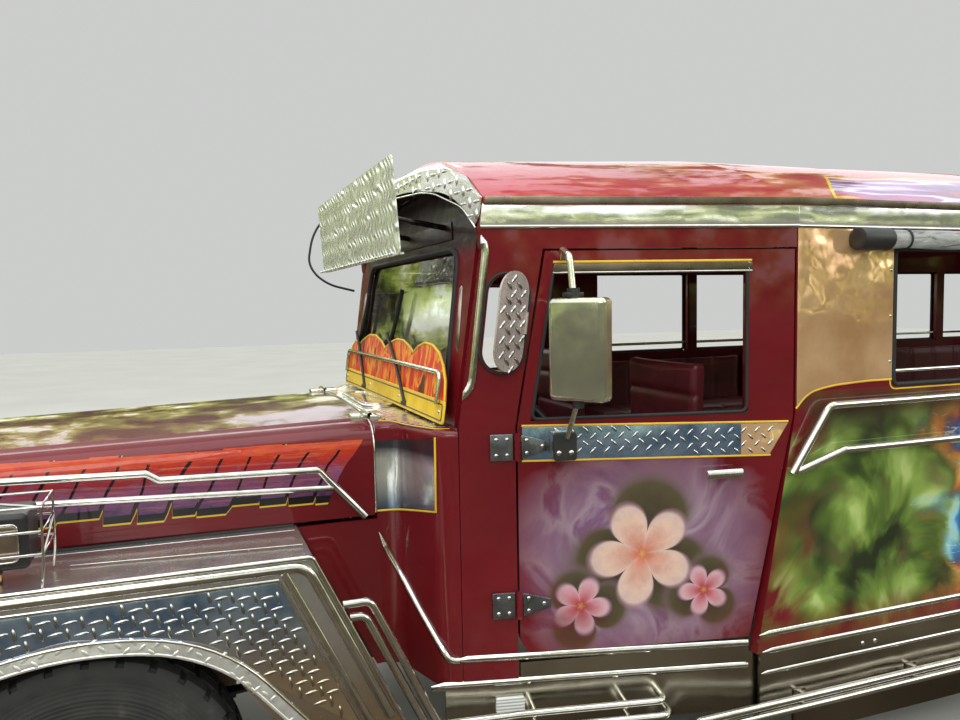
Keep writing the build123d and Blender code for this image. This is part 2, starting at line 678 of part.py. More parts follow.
hood_skin = 12
hood_outer = loft([hood_face(hood_rear_x, hood_rear_half, hood_rear_z, 0),
                   hood_face(hood_front_x, hood_front_half, hood_front_z, 0)], ruled=True)
hood_inner = loft([hood_face(hood_rear_x - 1, hood_rear_half, hood_rear_z, hood_skin),
                   hood_face(hood_front_x + 1, hood_front_half, hood_front_z, hood_skin)], ruled=True)
nose_cut = side_plate([(hood_nose_low_x, hood_low_z - 9), (hood_front_x, 1120), (hood_front_x + 9, 1120),
                       (hood_front_x + 9, hood_low_z - 9)], -600, 600)
hood = hood_outer - hood_inner - nose_cut
for y in (400, -400):
    barrel = Pos(hinge_x, y, hinge_z) * Rot(90, 0, 0) * Cylinder(hinge_radius, 50)
    hood += barrel + block(hood_rear_x + 1, hood_rear_x + 46, y - 25, y + 25, hood_rear_z - 2, hinge_z - 2)
    hood += block(hinge_x, hood_rear_x + 2, y - 25, y + 25, hinge_z - 6, hinge_z - 2)
save("hood", hood)


def hood_half(x):
    # The half width of the bonnet at a given x
    part = (x - hood_rear_x) / (hood_front_x - hood_rear_x)
    return hood_rear_half + part * (hood_front_half - hood_rear_half)


hood_rail_y = 545
hood_rail = Part()
upper = [(1775, 907), (1906, 1056), (2327, 1066), (2358, 1086), (2860, 1100)]
lower = [(1864, 1001), (2645, 1032)]
hood_rail += tube([(x, hood_rail_y, z) for x, z in upper], 10, 16)
hood_rail += rod(*[(x, hood_rail_y, z) for x, z in lower], 9)
for x, z in ((1786, 919), (2120, 1061), (2760, 1097), (2000, 1006), (2600, 1030)):
    hood_rail += rod((x, hood_half(x) + 0.5, z), (x, hood_rail_y, z), 6)
save("hood_rails", pair(hood_rail))

# Cab doors
gap = joint_gap
door_points = [(seam_low_x + gap, door_low_z), (door_front_low_x, door_low_z), (door_front_low_x, belt_z),
               (door_front_top_x, door_top_z), (seam_x + gap, door_top_z), (seam_x + gap, belt_z)]
door = cab_plate(door_points, -wall, 0)
low_corner = door.edges().filter_by(lambda edge: edge.length < wall + 1).sort_by_distance(
    Vector(door_front_low_x, cab_y(door_front_low_x), door_low_z))[0]
door = fillet(low_corner, 58)
seam_clear = [(seam_low_x + gap, door_low_z - 9), (1500, door_low_z - 9), (1500, 1700),
              (seam_x + gap, 1700), (seam_x + gap, belt_z)]
door &= side_plate(seam_clear, 600, 1000)
window_points = [(720, 1190), (1352, 1190), (1283, 1625), (720, 1625)]
door -= cab_plate(window_points, -wall - 1, 1)
belt = cab_plate([(612, 1062), (1310, 1079), (1382, 1079), (1382, belt_z), (590, belt_z - 20)], 0, 2)
door += belt
pin_x = door_front_low_x + joint_gap / 2
pin_out = 12
for z in hinge_heights:
    pin = on_cab_side(Pos(cab_u(pin_x), pin_out, z) * Cylinder(8, 76))
    leaf = cab_plate([(pin_x - 90, z - 12), (pin_x - 4, z - 34), (pin_x - 4, z + 34),
                      (pin_x - 90, z + 12)], 0, leaf_depth)
    door += pin + leaf
# A lever handle near the rear edge
handle_u = cab_u(760)
handle = on_cab_side(rod((handle_u, -1, 1020), (handle_u, 34, 1020), 12))
handle += on_cab_side(block(handle_u - 12, handle_u + 96, 24, 36, 1010, 1030))
door += handle
save("door_left", door)
save("door_right", mirrored(door))

# Mirrors on the doors: a housing turned outward, on an upper arm and a lower post
mirror_x = 1290
mirror_y = 966
mirror_turn = 33
mirror_low_z = 1263
mirror_high_z = 1531
housing = block(-28, 28, -83, 83, mirror_low_z, mirror_high_z)
housing = fillet(housing.edges(), 15)
housing = Location((mirror_x, mirror_y, 0), (0, 0, mirror_turn)) * housing
housing += tube([(1262, 815, 1642), (1280, 850, 1662), (1300, 930, 1640), (1296, 945, mirror_high_z - 4)], 9, 24)
housing += rod((1288, 950, mirror_low_z + 2), (1277, 862, 1150), 7)
housing += on_cab_side(block(cab_u(1268) - 30, cab_u(1268) + 30, 2.5, 46, 1086, 1160))
save("mirror_left", housing)
save("mirror_right", mirrored(housing))

# Steering: knuckles, tie rod and steering wheel
knuckle = Pos(front_axle_x, kingpin_y, 365) * Cylinder(18, 130)
for z in (365 - 52, 365 + 52):
    knuckle += Pos(front_axle_x, kingpin_y, z) * Cylinder(32, 50)
knuckle += block(front_axle_x - 30, front_axle_x + 30, kingpin_y + 36, kingpin_y + 62, 300, 430)
for z in (302, 428):
    knuckle += block(front_axle_x - 30, front_axle_x + 30, kingpin_y, kingpin_y + 62, z - 12, z + 12)
knuckle += Pos(front_axle_x, kingpin_y + 96, 365) * Rot(90, 0, 0) * Cylinder(24, 76)
arm_x = front_axle_x - steer_arm
arm_y = kingpin_y
arm_low = 304
arm_high = 318
stud_radius = 8


def steering_knuckle(hole):
    # A knuckle with its steering arm, whose far end takes the tie rod's stud
    arm = plan_plate([(front_axle_x - 10, kingpin_y + 20), (front_axle_x - 10, kingpin_y - 20),
                      (arm_x, arm_y - 14), (arm_x, arm_y + 14)], arm_low, arm_high)
    arm += Pos(arm_x, arm_y, (arm_low + arm_high) / 2) * Cylinder(20, arm_high - arm_low)
    arm -= Pos(arm_x, arm_y, arm_low) * Cylinder(hole, 60)
    return knuckle + arm


save("knuckle_left", steering_knuckle(stud_radius + 0.05))
save("knuckle_right", mirrored(steering_knuckle(stud_radius + 2)))
tie_rod = rod((arm_x, -arm_y, tie_rod_z), (arm_x, arm_y, tie_rod_z), 13)
for side in (-1, 1):
    tie_rod += Pos(arm_x, side * arm_y, tie_rod_z) * Sphere(17)
    tie_rod += Pos(arm_x, side * arm_y, 304) * Cylinder(stud_radius, 36)
save("tie_rod", tie_rod)
ring_radius = 200
ring = Torus(ring_radius, 13) + Pos(0, 0, 14) * Cylinder(42, 52)
for turn in (90, 210, 330):
    ring += Rot(0, 0, turn) * Pos(ring_radius / 2, 0, 0) * Box(ring_radius, 26, 10)
wheel_plane = Plane(origin=wheel_centre, x_dir=(0, 1, 0), z_dir=column_dir)
save("steering_wheel", wheel_plane * ring)

# Wheels: a steel rim with its drum and hub, and a tyre with a rounded shoulder
spindle_radius = 24
rim_profile = [(24.05, -44), (150, -44), (150, -70), (156, -70), (156, -10), (186, 20), (186, -74),
               (203, -80), (203, -86), (210, -86), (210, -78), (192, -66), (192, 66), (210, 78),
               (210, 86), (203, 86), (203, 80), (186, 74), (186, 30), (150, -2), (100, -2), (92, 24),
               (60, 24), (60, 52), (24.05, 52)]
tyre_profile = [(192.5, -64), (212, -76), (215, -88), (270, -95), (320, -92), (352, -78), (tyre_radius, -58),
                (tyre_radius, 58), (352, 78), (320, 92), (270, 95), (215, 88), (212, 76), (192.5, 64)]


def road_wheel(name, x, y):
    side = 1 if y > 0 else -1
    rim = turned([(r, side * o) for r, o in rim_profile], x, y, tyre_radius)
    tyre = turned([(r, side * o) for r, o in tyre_profile], x, y, tyre_radius)
    for turn in range(8):
        hole = Rot(0, turn * 45, 0) * Pos(126, 0, 0) * Rot(90, 0, 0) * Cylinder(15, 120)
        rim -= Pos(x, y + side * 10, tyre_radius) * hole
    save("rim_" + name, rim)
    save("tyre_" + name, tyre)


for end, x, y in (("front", front_axle_x, front_wheel_y), ("rear", rear_axle_x, rear_wheel_y)):
    road_wheel(end + "_left", x, y)
    road_wheel(end + "_right", x, -y)
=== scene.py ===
import json
import math

import bpy
from mathutils import Matrix, Vector


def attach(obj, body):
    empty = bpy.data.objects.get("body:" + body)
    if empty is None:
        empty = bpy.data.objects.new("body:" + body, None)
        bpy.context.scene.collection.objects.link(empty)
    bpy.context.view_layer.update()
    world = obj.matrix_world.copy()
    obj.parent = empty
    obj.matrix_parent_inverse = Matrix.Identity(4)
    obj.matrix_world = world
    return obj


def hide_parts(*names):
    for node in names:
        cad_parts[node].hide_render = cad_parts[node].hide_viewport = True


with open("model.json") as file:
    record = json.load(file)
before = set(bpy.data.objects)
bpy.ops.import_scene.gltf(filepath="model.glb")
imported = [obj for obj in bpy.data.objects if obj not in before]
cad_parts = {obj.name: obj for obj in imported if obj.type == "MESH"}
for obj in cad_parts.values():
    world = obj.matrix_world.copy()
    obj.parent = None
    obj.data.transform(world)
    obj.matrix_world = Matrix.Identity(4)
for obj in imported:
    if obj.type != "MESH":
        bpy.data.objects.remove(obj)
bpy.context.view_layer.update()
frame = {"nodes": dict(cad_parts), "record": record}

print("stage: frame loaded")

# the photograph's viewpoint, in metres and degrees
cameraView = {"place": (2.25, 2.80, 1.52), "yaw": 20.43, "pitch": 4.06, "roll": 1.01, "lens": 29.81}


def placeCamera(view):
    yaw, pitch, roll = (math.radians(view[key]) for key in ("yaw", "pitch", "roll"))
    ahead = Vector((-math.sin(yaw) * math.cos(pitch), -math.cos(yaw) * math.cos(pitch), -math.sin(pitch)))
    right = ahead.cross(Vector((0, 0, 1))).normalized()
    down = ahead.cross(right)
    rightTurned = right * math.cos(roll) + down * math.sin(roll)
    downTurned = down * math.cos(roll) - right * math.sin(roll)
    camera = bpy.data.objects.new("photoCamera", bpy.data.cameras.new("photoCamera"))
    bpy.context.collection.objects.link(camera)
    camera.data.lens = view["lens"]
    camera.data.sensor_width = 36.0
    camera.data.clip_start = 0.05
    camera.data.clip_end = 200.0
    turned = Matrix((rightTurned, -downTurned, -ahead)).transposed().to_4x4()
    camera.matrix_world = Matrix.Translation(view["place"]) @ turned
    bpy.context.scene.camera = camera


placeCamera(cameraView)

# small helpers for picking and making pieces


def deselectAll():
    if bpy.context.object and bpy.context.object.mode != "OBJECT":
        bpy.ops.object.mode_set(mode="OBJECT")
    bpy.ops.object.select_all(action="DESELECT")


def pick(piece):
    deselectAll()
    piece.select_set(True)
    bpy.context.view_layer.objects.active = piece


def settle(piece):
    # the piece's place goes into its mesh
    pick(piece)
    bpy.ops.object.transform_apply(location=True, rotation=True, scale=True)


def applyModifiers(piece):
    pick(piece)
    for modifier in list(piece.modifiers):
        bpy.ops.object.modifier_apply(modifier=modifier.name)


def editAll():
    bpy.ops.object.mode_set(mode="EDIT")
    bpy.ops.mesh.select_all(action="SELECT")


# node helpers for the finishes


def newFinish(name, colour, roughness, metallic=0.0, **sockets):
    material = bpy.data.materials.new(name)
    material.use_nodes = True
    shader = material.node_tree.nodes["Principled BSDF"]
    shader.inputs["Base Color"].default_value = (*colour, 1.0)
    shader.inputs["Roughness"].default_value = roughness
    shader.inputs["Metallic"].default_value = metallic
    for key, value in sockets.items():
        shader.inputs[key.replace("_", " ")].default_value = value
    return material


def treeOf(owner):
    # the node tree of a material, a world or a socket
    return owner.node_tree if hasattr(owner, "node_tree") else owner.id_data


def shaderOf(owner):
    return treeOf(owner).nodes["Principled BSDF"]


def addNode(owner, kind, **values):
    node = treeOf(owner).nodes.new(kind)
    for key, value in values.items():
        if key in node.inputs:
            node.inputs[key].default_value = value
        else:
            setattr(node, key, value)
    return node


def link(start, end):
    start.id_data.links.new(start, end)


def give(slot, value):
    # a number or colour set on the slot, or a socket linked to it
    if isinstance(value, bpy.types.NodeSocket):
        link(value, slot)
    else:
        slot.default_value = (*value, 1.0) if isinstance(value, tuple) else value


def objectPoint(owner, scale=(1, 1, 1), turn=(0, 0, 0)):
    coordinates = addNode(owner, "ShaderNodeTexCoord")
    mapping = addNode(owner, "ShaderNodeMapping", Scale=scale, Rotation=turn)
    link(coordinates.outputs["Object"], mapping.inputs["Vector"])
    return mapping.outputs["Vector"]


def splitPoint(point):
    split = addNode(point, "ShaderNodeSeparateXYZ")
    link(point, split.inputs[0])
    return [split.outputs[axis] for axis in "XYZ"]


def noiseFactor(point, scale, detail=4.0, roughness=0.55, distortion=0.0):
    noise = addNode(point, "ShaderNodeTexNoise", Scale=scale, Detail=detail, Roughness=roughness,
                    Distortion=distortion)
    link(point, noise.inputs["Vector"])
    return noise.outputs["Fac"]


def rampColour(factor, stops):
    ramp = addNode(factor, "ShaderNodeValToRGB")
    while len(ramp.color_ramp.elements) < len(stops):
        ramp.color_ramp.elements.new(0.5)
    for element, (place, colour) in zip(ramp.color_ramp.elements, stops):
        element.position = place
        element.color = (*colour, 1.0)
    link(factor, ramp.inputs["Fac"])
    return ramp.outputs["Color"]


def remap(factor, low, high, newLow, newHigh):
    node = addNode(factor, "ShaderNodeMapRange")
    for key, value in (("From Min", low), ("From Max", high), ("To Min", newLow), ("To Max", newHigh),
                       ("Value", factor)):
        give(node.inputs[key], value)
    return node.outputs["Result"]


def mathOf(operation, *values):
    owner = next(value for value in values if isinstance(value, bpy.types.NodeSocket))
    node = addNode(owner, "ShaderNodeMath", operation=operation)
    for slot, value in zip(node.inputs, values):
        give(slot, value)
    return node.outputs["Value"]


def plus(first, second):
    return mathOf("ADD", first, second)


def minus(first, second):
    return mathOf("SUBTRACT", first, second)


def times(first, second):
    return mathOf("MULTIPLY", first, second)


def over(first, second):
    return mathOf("DIVIDE", first, second)


def mixColour(factor, first, second):
    node = addNode(factor, "ShaderNodeMix", data_type="RGBA")
    slots = {socket.identifier: socket for socket in node.inputs}
    for key, value in (("Factor_Float", factor), ("A_Color", first), ("B_Color", second)):
        give(slots[key], value)
    return next(socket for socket in node.outputs if socket.identifier == "Result_Color")


def addBump(height, strength, distance):
    shader = shaderOf(height)
    bump = addNode(height, "ShaderNodeBump", Strength=strength, Distance=distance)
    link(height, bump.inputs["Height"])
    if shader.inputs["Normal"].links:
        link(shader.inputs["Normal"].links[0].from_socket, bump.inputs["Normal"])
    link(bump.outputs["Normal"], shader.inputs["Normal"])


def toShader(socket, name):
    link(socket, shaderOf(socket).inputs[name])


# lights and floor

stageFinish = {"floorSize": 60.0, "floorColour": (0.60, 0.59, 0.57), "floorDark": (0.54, 0.53, 0.51),
               "groundDark": (0.045, 0.036, 0.026), "groundPale": (0.15, 0.125, 0.095)}


def makeStage(look):
    bpy.ops.mesh.primitive_plane_add(size=look["floorSize"], location=(0, 0, 0))
    floor = bpy.context.object
    floor.name = "studioFloor"
    material = newFinish("studioFloor", look["floorColour"], 0.85)
    point = objectPoint(material)
    toShader(rampColour(noiseFactor(point, 0.8), [(0.3, look["floorDark"]), (0.7, look["floorColour"])]),
             "Base Color")
    # bright metal mirrors a dark ground, as it does outdoors
    ground = addNode(material, "ShaderNodeBsdfDiffuse")
    link(rampColour(noiseFactor(point, 1.3, 5.0), [(0.35, look["groundDark"]), (0.65, look["groundPale"])]),
         ground.inputs["Color"])
    rays = addNode(material, "ShaderNodeLightPath")
    choice = addNode(material, "ShaderNodeMixShader")
    link(rays.outputs["Is Glossy Ray"], choice.inputs[0])
    link(shaderOf(material).outputs["BSDF"], choice.inputs[1])
    link(ground.outputs["BSDF"], choice.inputs[2])
    link(choice.outputs["Shader"], material.node_tree.nodes["Material Output"].inputs["Surface"])
    floor.data.materials.append(material)


# what the bright metal mirrors: open sky, trees standing up from eye level and a few boughs overhead
worldLook = {
    "seen": (0.60, 0.61, 0.60), "sky": (1.30, 1.33, 1.34), "ground": (0.15, 0.13, 0.10),
    "bough": 3.1, "boughDetail": 7.0, "leaf": 13.0, "treeLine": 0.20, "thick": 0.22, "thin": 0.06,
    "edge": (0.50, 0.53), "horizon": (-0.03, 0.01),
    "leaves": [(0.37, (0.010, 0.016, 0.007)), (0.45, (0.060, 0.085, 0.022)), (0.51, (0.30, 0.38, 0.060)),
               (0.56, (0.72, 0.78, 0.26)), (0.60, (1.45, 1.50, 1.35))],
}


def makeWorld(look):
    world = bpy.data.worlds.new("studioWorld")
    bpy.context.scene.world = world
    world.use_nodes = True
    surround = world.node_tree.nodes["Background"]
    place = addNode(world, "ShaderNodeTexCoord").outputs["Generated"]
    height = splitPoint(place)[2]
    boughs = noiseFactor(place, look["bough"], look["boughDetail"], 0.62)
    leaves = rampColour(noiseFactor(place, look["leaf"], 6.0, 0.7), look["leaves"])
    # the lower one looks, the more of the sky is trees
    level = plus(remap(height, 0.0, look["treeLine"], look["thick"], 0.0),
                 remap(height, look["treeLine"], 1.0, 0.0, -look["thin"]))
    above = mixColour(remap(plus(level, boughs), *look["edge"], 0.0, 1.0), look["sky"], leaves)
    link(mixColour(remap(height, *look["horizon"], 0.0, 1.0), look["ground"], above), surround.inputs["Color"])
    plain = addNode(world, "ShaderNodeBackground")
    give(plain.inputs["Color"], look["seen"])
    rays = addNode(world, "ShaderNodeLightPath")
    choice = addNode(world, "ShaderNodeMixShader")
    link(rays.outputs["Is Camera Ray"], choice.inputs[0])
    link(surround.outputs["Background"], choice.inputs[1])
    link(plain.outputs["Background"], choice.inputs[2])
    link(choice.outputs["Shader"], world.node_tree.nodes["World Output"].inputs["Surface"])


# each light's place, what it is aimed at, its size and power
lightTable = {
    "overheadBox": {"place": (0.5, 1.5, 7.0), "aim": (0.5, 0.0, 1.0), "size": (9.0, 5.0), "power": 240.0},
    "sideKey": {"place": (5.5, 8.0, 6.0), "aim": (1.2, 0.5, 1.0), "size": (7.0, 3.0), "power": 260.0},
    "rearSide": {"place": (-7.0, 6.5, 5.0), "aim": (-1.0, 0.0, 1.0), "size": (4.0, 3.0), "power": 110.0},
    "farSide": {"place": (2.0, -9.0, 5.5), "aim": (0.5, 0.0, 1.0), "size": (8.0, 3.0), "power": 160.0},
}


def makeLights(table):
    for name, row in table.items():
        data = bpy.data.lights.new(name, "AREA")
        data.shape = "RECTANGLE"
        data.size, data.size_y = row["size"]
        data.energy = row["power"]
        light = bpy.data.objects.new(name, data)
        bpy.context.collection.objects.link(light)
        light.location = row["place"]
        aim = Vector(row["aim"]) - Vector(row["place"])
        light.rotation_euler = aim.to_track_quat("-Z", "Y").to_euler()


bpy.context.scene.view_settings.view_transform = "Standard"
makeStage(stageFinish)
makeWorld(worldLook)
makeLights(lightTable)
print("stage: camera, floor and lights made")


# paint, metal, rubber and soft finishes


def wavePanels(point, scale, strength, distance):
    # the slow wobble that hand-beaten sheet shows in its reflections
    addBump(noiseFactor(point, scale, 2.0, 0.4), strength, distance)


def addDust(axes, point, colour, dust, low, high, most):
    # road dust that thickens towards the ground
    grit = noiseFactor(point, 18.0, 8.0, 0.7)
    amount = times(remap(axes[2], low, high, most, 0.0), remap(grit, 0.4, 0.72, 0.15, 1.0))
    return mixColour(amount, colour, dust), grit


def paintFinish(name, look):
    material = newFinish(name, look["colour"], look["roughness"], Coat_Weight=look["coat"], Coat_Roughness=0.03,
            Specular_IOR_Level=0.12)
    point = objectPoint(material)
    axes = splitPoint(point)
    tone = rampColour(noiseFactor(point, 1.7, 4.0), [(0.34, look["darker"]), (0.68, look["colour"])])
    tone, grit = addDust(axes, point, tone, look["dust"], 0.30, 0.80, 0.26)
    toShader(tone, "Base Color")
    toShader(remap(grit, 0.3, 0.8, look["roughness"], look["roughness"] + 0.25), "Roughness")
    wavePanels(point, 3.2, 0.22, 0.02)
    addBump(noiseFactor(point, 420.0, 2.0), 0.02, 0.0006)
    return material, point, axes, tone


maroonLook = {"colour": (0.160, 0.0050, 0.0105), "darker": (0.105, 0.003, 0.0065),
              "dust": (0.15, 0.075, 0.05), "roughness": 0.34, "coat": 0.75}
roofLook = {"colour": (0.42, 0.009, 0.036), "darker": (0.30, 0.006, 0.022),
            "dust": (0.42, 0.20, 0.20), "roughness": 0.30, "coat": 0.80}
maroonPaint, _, _, _ = paintFinish("maroonPaint", maroonLook)
roofPaint, _, roofAxes, roofTone = paintFinish("roofPaint", roofLook)


def roofArt(material, axes, tone):
    # paler pink streaks along the length, and a violet and white brush band along each side behind a thin yellow line
    look = {"front": 0.43, "lean": 1.5, "top": 1.925, "line": 0.005}
    paleStreaks = noiseFactor(objectPoint(material, (0.6, 4.0, 4.0)), 3.0, 6.0, 0.6)
    tone = mixColour(remap(paleStreaks, 0.5, 0.75, 0.0, 0.45), tone, (0.50, 0.10, 0.13))
    bend = remap(noiseFactor(objectPoint(material, (1, 0, 1)), 1.6, 0.0, 0.5), 0.3, 0.7, -0.06, 0.06)
    height = minus(axes[2], look["top"])
    along = plus(plus(axes[0], times(plus(height, 0.122), look["lean"])), bend)
    level = plus(height, times(bend, 0.5))
    brush = noiseFactor(objectPoint(material, (0.35, 0.8, 5.0), (0, 0.05, 0)), 4.0, 2.5, 0.5, 0.3)
    streaks = rampColour(brush, [(0.34, (0.36, 0.010, 0.03)), (0.43, (0.075, 0.012, 0.13)), (0.49, (0.24, 0.07, 0.33)),
            (0.535, (0.66, 0.60, 0.68)), (0.56, (0.20, 0.05, 0.30)), (0.66, (0.42, 0.012, 0.03)),
            (0.69, (0.72, 0.36, 0.03)), (0.71, (0.40, 0.012, 0.03))])
    band = times(mathOf("LESS_THAN", along, look["front"]), mathOf("LESS_THAN", level, 0.0))
    art = mixColour(band, tone, streaks)
    behind = minus(along, look["front"])
    for value, limit, other, most in ((along, look["front"], level, look["line"]),
                                      (level, 0.0, behind, look["line"] * 0.6)):
        near = mathOf("LESS_THAN", mathOf("ABSOLUTE", minus(value, limit)), most)
        line = times(near, mathOf("LESS_THAN", other, 0.004))
        art = mixColour(line, art, (0.68, 0.44, 0.03))
    toShader(art, "Base Color")


roofArt(roofPaint, roofAxes, roofTone)


def steelFinish(name, look):
    # bright sheet: smudges in the gloss, a slow wobble, and painted reflections as tints that drift from high to low:
    # a low tint for what the sheet would mirror below, a dark top tint for dark things it would mirror above
    material = newFinish(name, look["colour"], look["roughness"], look.get("metal", 1.0))
    point = objectPoint(material)
    axes = splitPoint(point)
    cloud = noiseFactor(point, look.get("cloud", 5.0), 6.0, 0.6)
    tone = rampColour(cloud, [(0.32, look["darker"]), (0.66, look["colour"])])
    for tint, ends, span in (("groundReflection", "groundReflectionHeight", (1.0, 0.0)), ("topReflection", "topReflectionHeight", (0.0, 1.0))):
        if tint in look:
            tone = mixColour(remap(axes[2], *look[ends], *span), tone, look[tint])
    toShader(tone, "Base Color")
    smudge = noiseFactor(point, look.get("smudge", 22.0), 5.0, 0.65)
    toShader(remap(smudge, 0.35, 0.75, look["roughness"], look["rough"]), "Roughness")
    wavePanels(point, look.get("waveScale", 5.0), look.get("wave", 0.25), 0.02)
    if look.get("scratch"):
        lines = noiseFactor(objectPoint(material, look["scratch"]), 60.0, 3.0, 0.6)
        addBump(lines, 0.08, 0.0008)
    return material, point, axes


# the low tints are painted reflections of the ground, and the sweep plate's top tint is a painted reflection of dark
# things above
steelLooks = {
    "polishedSteel": {"colour": (0.90, 0.90, 0.85), "darker": (0.72, 0.72, 0.66), "roughness": 0.05,
                      "rough": 0.14, "wave": 0.24, "scratch": (0.4, 6.0, 6.0), "metal": 0.82},
    "browSteel": {"colour": (0.93, 0.92, 0.90), "darker": (0.78, 0.77, 0.74), "roughness": 0.20,
                  "rough": 0.36, "wave": 0.5},
    "fenderSteel": {"colour": (0.64, 0.63, 0.61), "darker": (0.46, 0.44, 0.42), "roughness": 0.20,
                    "rough": 0.30, "wave": 0.16, "metal": 0.85, "scratch": (0.5, 5.0, 5.0),
                    "groundReflection": (0.36, 0.27, 0.18), "groundReflectionHeight": (0.50, 0.84)},
    # the fender plate's blue is a painted reflection of the sky
    "fenderPlate": {"colour": (0.46, 0.58, 0.72), "darker": (0.14, 0.22, 0.36), "roughness": 0.14,
                    "rough": 0.30, "groundReflection": (0.50, 0.39, 0.26), "groundReflectionHeight": (0.62, 0.80), "wave": 0.8,
                    "cloud": 8.0, "metal": 0.88},
    "treadSteel": {"colour": (0.62, 0.62, 0.60), "darker": (0.40, 0.42, 0.44), "roughness": 0.10,
                   "rough": 0.26, "cloud": 14.0, "wave": 0.1, "groundReflection": (0.52, 0.44, 0.33),
                   "groundReflectionHeight": (0.55, 0.78)},
    "bluePlate": {"colour": (0.42, 0.58, 0.80), "darker": (0.12, 0.22, 0.40), "roughness": 0.12,
                  "rough": 0.26, "cloud": 11.0, "wave": 0.6, "metal": 0.85},
    "sweepSteel": {"colour": (0.94, 0.98, 0.95), "darker": (0.60, 0.66, 0.66), "roughness": 0.12,
                   "rough": 0.26, "cloud": 7.0, "wave": 0.6, "groundReflection": (0.07, 0.14, 0.26),
                   "groundReflectionHeight": (0.91, 1.01), "metal": 0.85, "scratch": (0.5, 0.5, 9.0),
                   "topReflection": (0.10, 0.10, 0.12), "topReflectionHeight": (1.065, 1.10)},
    "housingSteel": {"colour": (0.80, 0.83, 0.64), "darker": (0.50, 0.53, 0.40), "roughness": 0.07,
                     "rough": 0.18, "wave": 0.3, "metal": 0.92},
    "archSteel": {"colour": (0.90, 0.90, 0.87), "darker": (0.66, 0.65, 0.62), "roughness": 0.28,
                  "rough": 0.50, "wave": 0.5, "cloud": 26.0, "metal": 0.75},
    "skirtSteel": {"colour": (0.52, 0.50, 0.42), "darker": (0.38, 0.36, 0.29), "roughness": 0.14,
                   "rough": 0.30, "groundReflection": (0.24, 0.21, 0.17), "groundReflectionHeight": (0.29, 0.44), "wave": 0.25,
                   "cloud": 2.5, "smudge": 6.0, "scratch": (0.3, 4.0, 4.0)},
    "goldSteel": {"colour": (0.90, 0.60, 0.34), "darker": (0.62, 0.36, 0.17), "roughness": 0.06,
                  "rough": 0.18, "cloud": 4.0, "wave": 1.0, "waveScale": 6.0, "metal": 0.62},
    "chrome": {"colour": (0.80, 0.79, 0.76), "darker": (0.62, 0.60, 0.56), "roughness": 0.05,
               "rough": 0.18, "cloud": 30.0, "wave": 0.05},
    "hingeSteel": {"colour": (0.36, 0.40, 0.48), "darker": (0.18, 0.20, 0.24), "roughness": 0.22,
                   "rough": 0.45, "cloud": 14.0},
    "brownSteel": {"colour": (0.60, 0.52, 0.48), "darker": (0.33, 0.26, 0.23), "roughness": 0.12,
                   "rough": 0.28, "cloud": 10.0, "wave": 0.5},
    "gutterSteel": {"colour": (0.26, 0.22, 0.17), "darker": (0.15, 0.12, 0.09), "roughness": 0.24,
                    "rough": 0.40, "cloud": 10.0, "wave": 0.3},
    "flapSteel": {"colour": (0.66, 0.56, 0.54), "darker": (0.44, 0.36, 0.34), "roughness": 0.20,
                  "rough": 0.36, "cloud": 14.0, "wave": 0.3, "metal": 0.55},
}
steels = {name: steelFinish(name, look)[0] for name, look in steelLooks.items()}


def rippleSteel():
    # the visor's embossed sheet: upright ripples that waver down its height; its stays are dark
    material, point, axes = steelFinish("rippleSteel", {"colour": (0.90, 0.92, 0.86), "darker": (0.74, 0.76, 0.70),
            "roughness": 0.20, "rough": 0.34, "wave": 0.5, "metal": 0.62})
    rowPitch, ripplePitch = 0.062, 0.044
    row = times(axes[2], 2 * math.pi / rowPitch)
    bow = noiseFactor(point, 7.0, 2.0, 0.5)
    along = plus(over(axes[1], ripplePitch), times(mathOf("SINE", row), 0.26))
    along = plus(along, remap(bow, 0.3, 0.7, -0.8, 0.8))
    ripple = mathOf("SINE", times(along, 2 * math.pi))
    swell = mathOf("MULTIPLY_ADD", mathOf("COSINE", row), 0.25, 0.75)
    addBump(times(ripple, swell), 1.0, 0.0022)
    stay = remap(axes[0], 1.655, 1.660, 1.0, 0.0)
    tone = shaderOf(material).inputs["Base Color"].links[0].from_socket
    toShader(mixColour(stay, tone, (0.012, 0.008, 0.008)), "Base Color")
    return material


def plainFinish(name, look):
    # paint, plastic or rubber with patches of grime and a fine grain
    material = newFinish(name, look["colour"], look["roughness"], look.get("metallic", 0.0))
    point = objectPoint(material)
    axes = splitPoint(point)
    cloud = noiseFactor(point, look.get("cloud", 7.0), 7.0, 0.65)
    tone = rampColour(cloud, [(0.30, look["darker"]), (0.60, look["colour"]),
            (0.80, look.get("grime", look["colour"]))])
    toShader(tone, "Base Color")
    toShader(remap(cloud, 0.3, 0.8, look["roughness"], min(1.0, look["roughness"] + 0.25)), "Roughness")
    addBump(noiseFactor(point, look.get("grain", 180.0), 4.0, 0.6), look.get("bump", 0.15), look.get("depth", 0.001))
    return material, point, axes


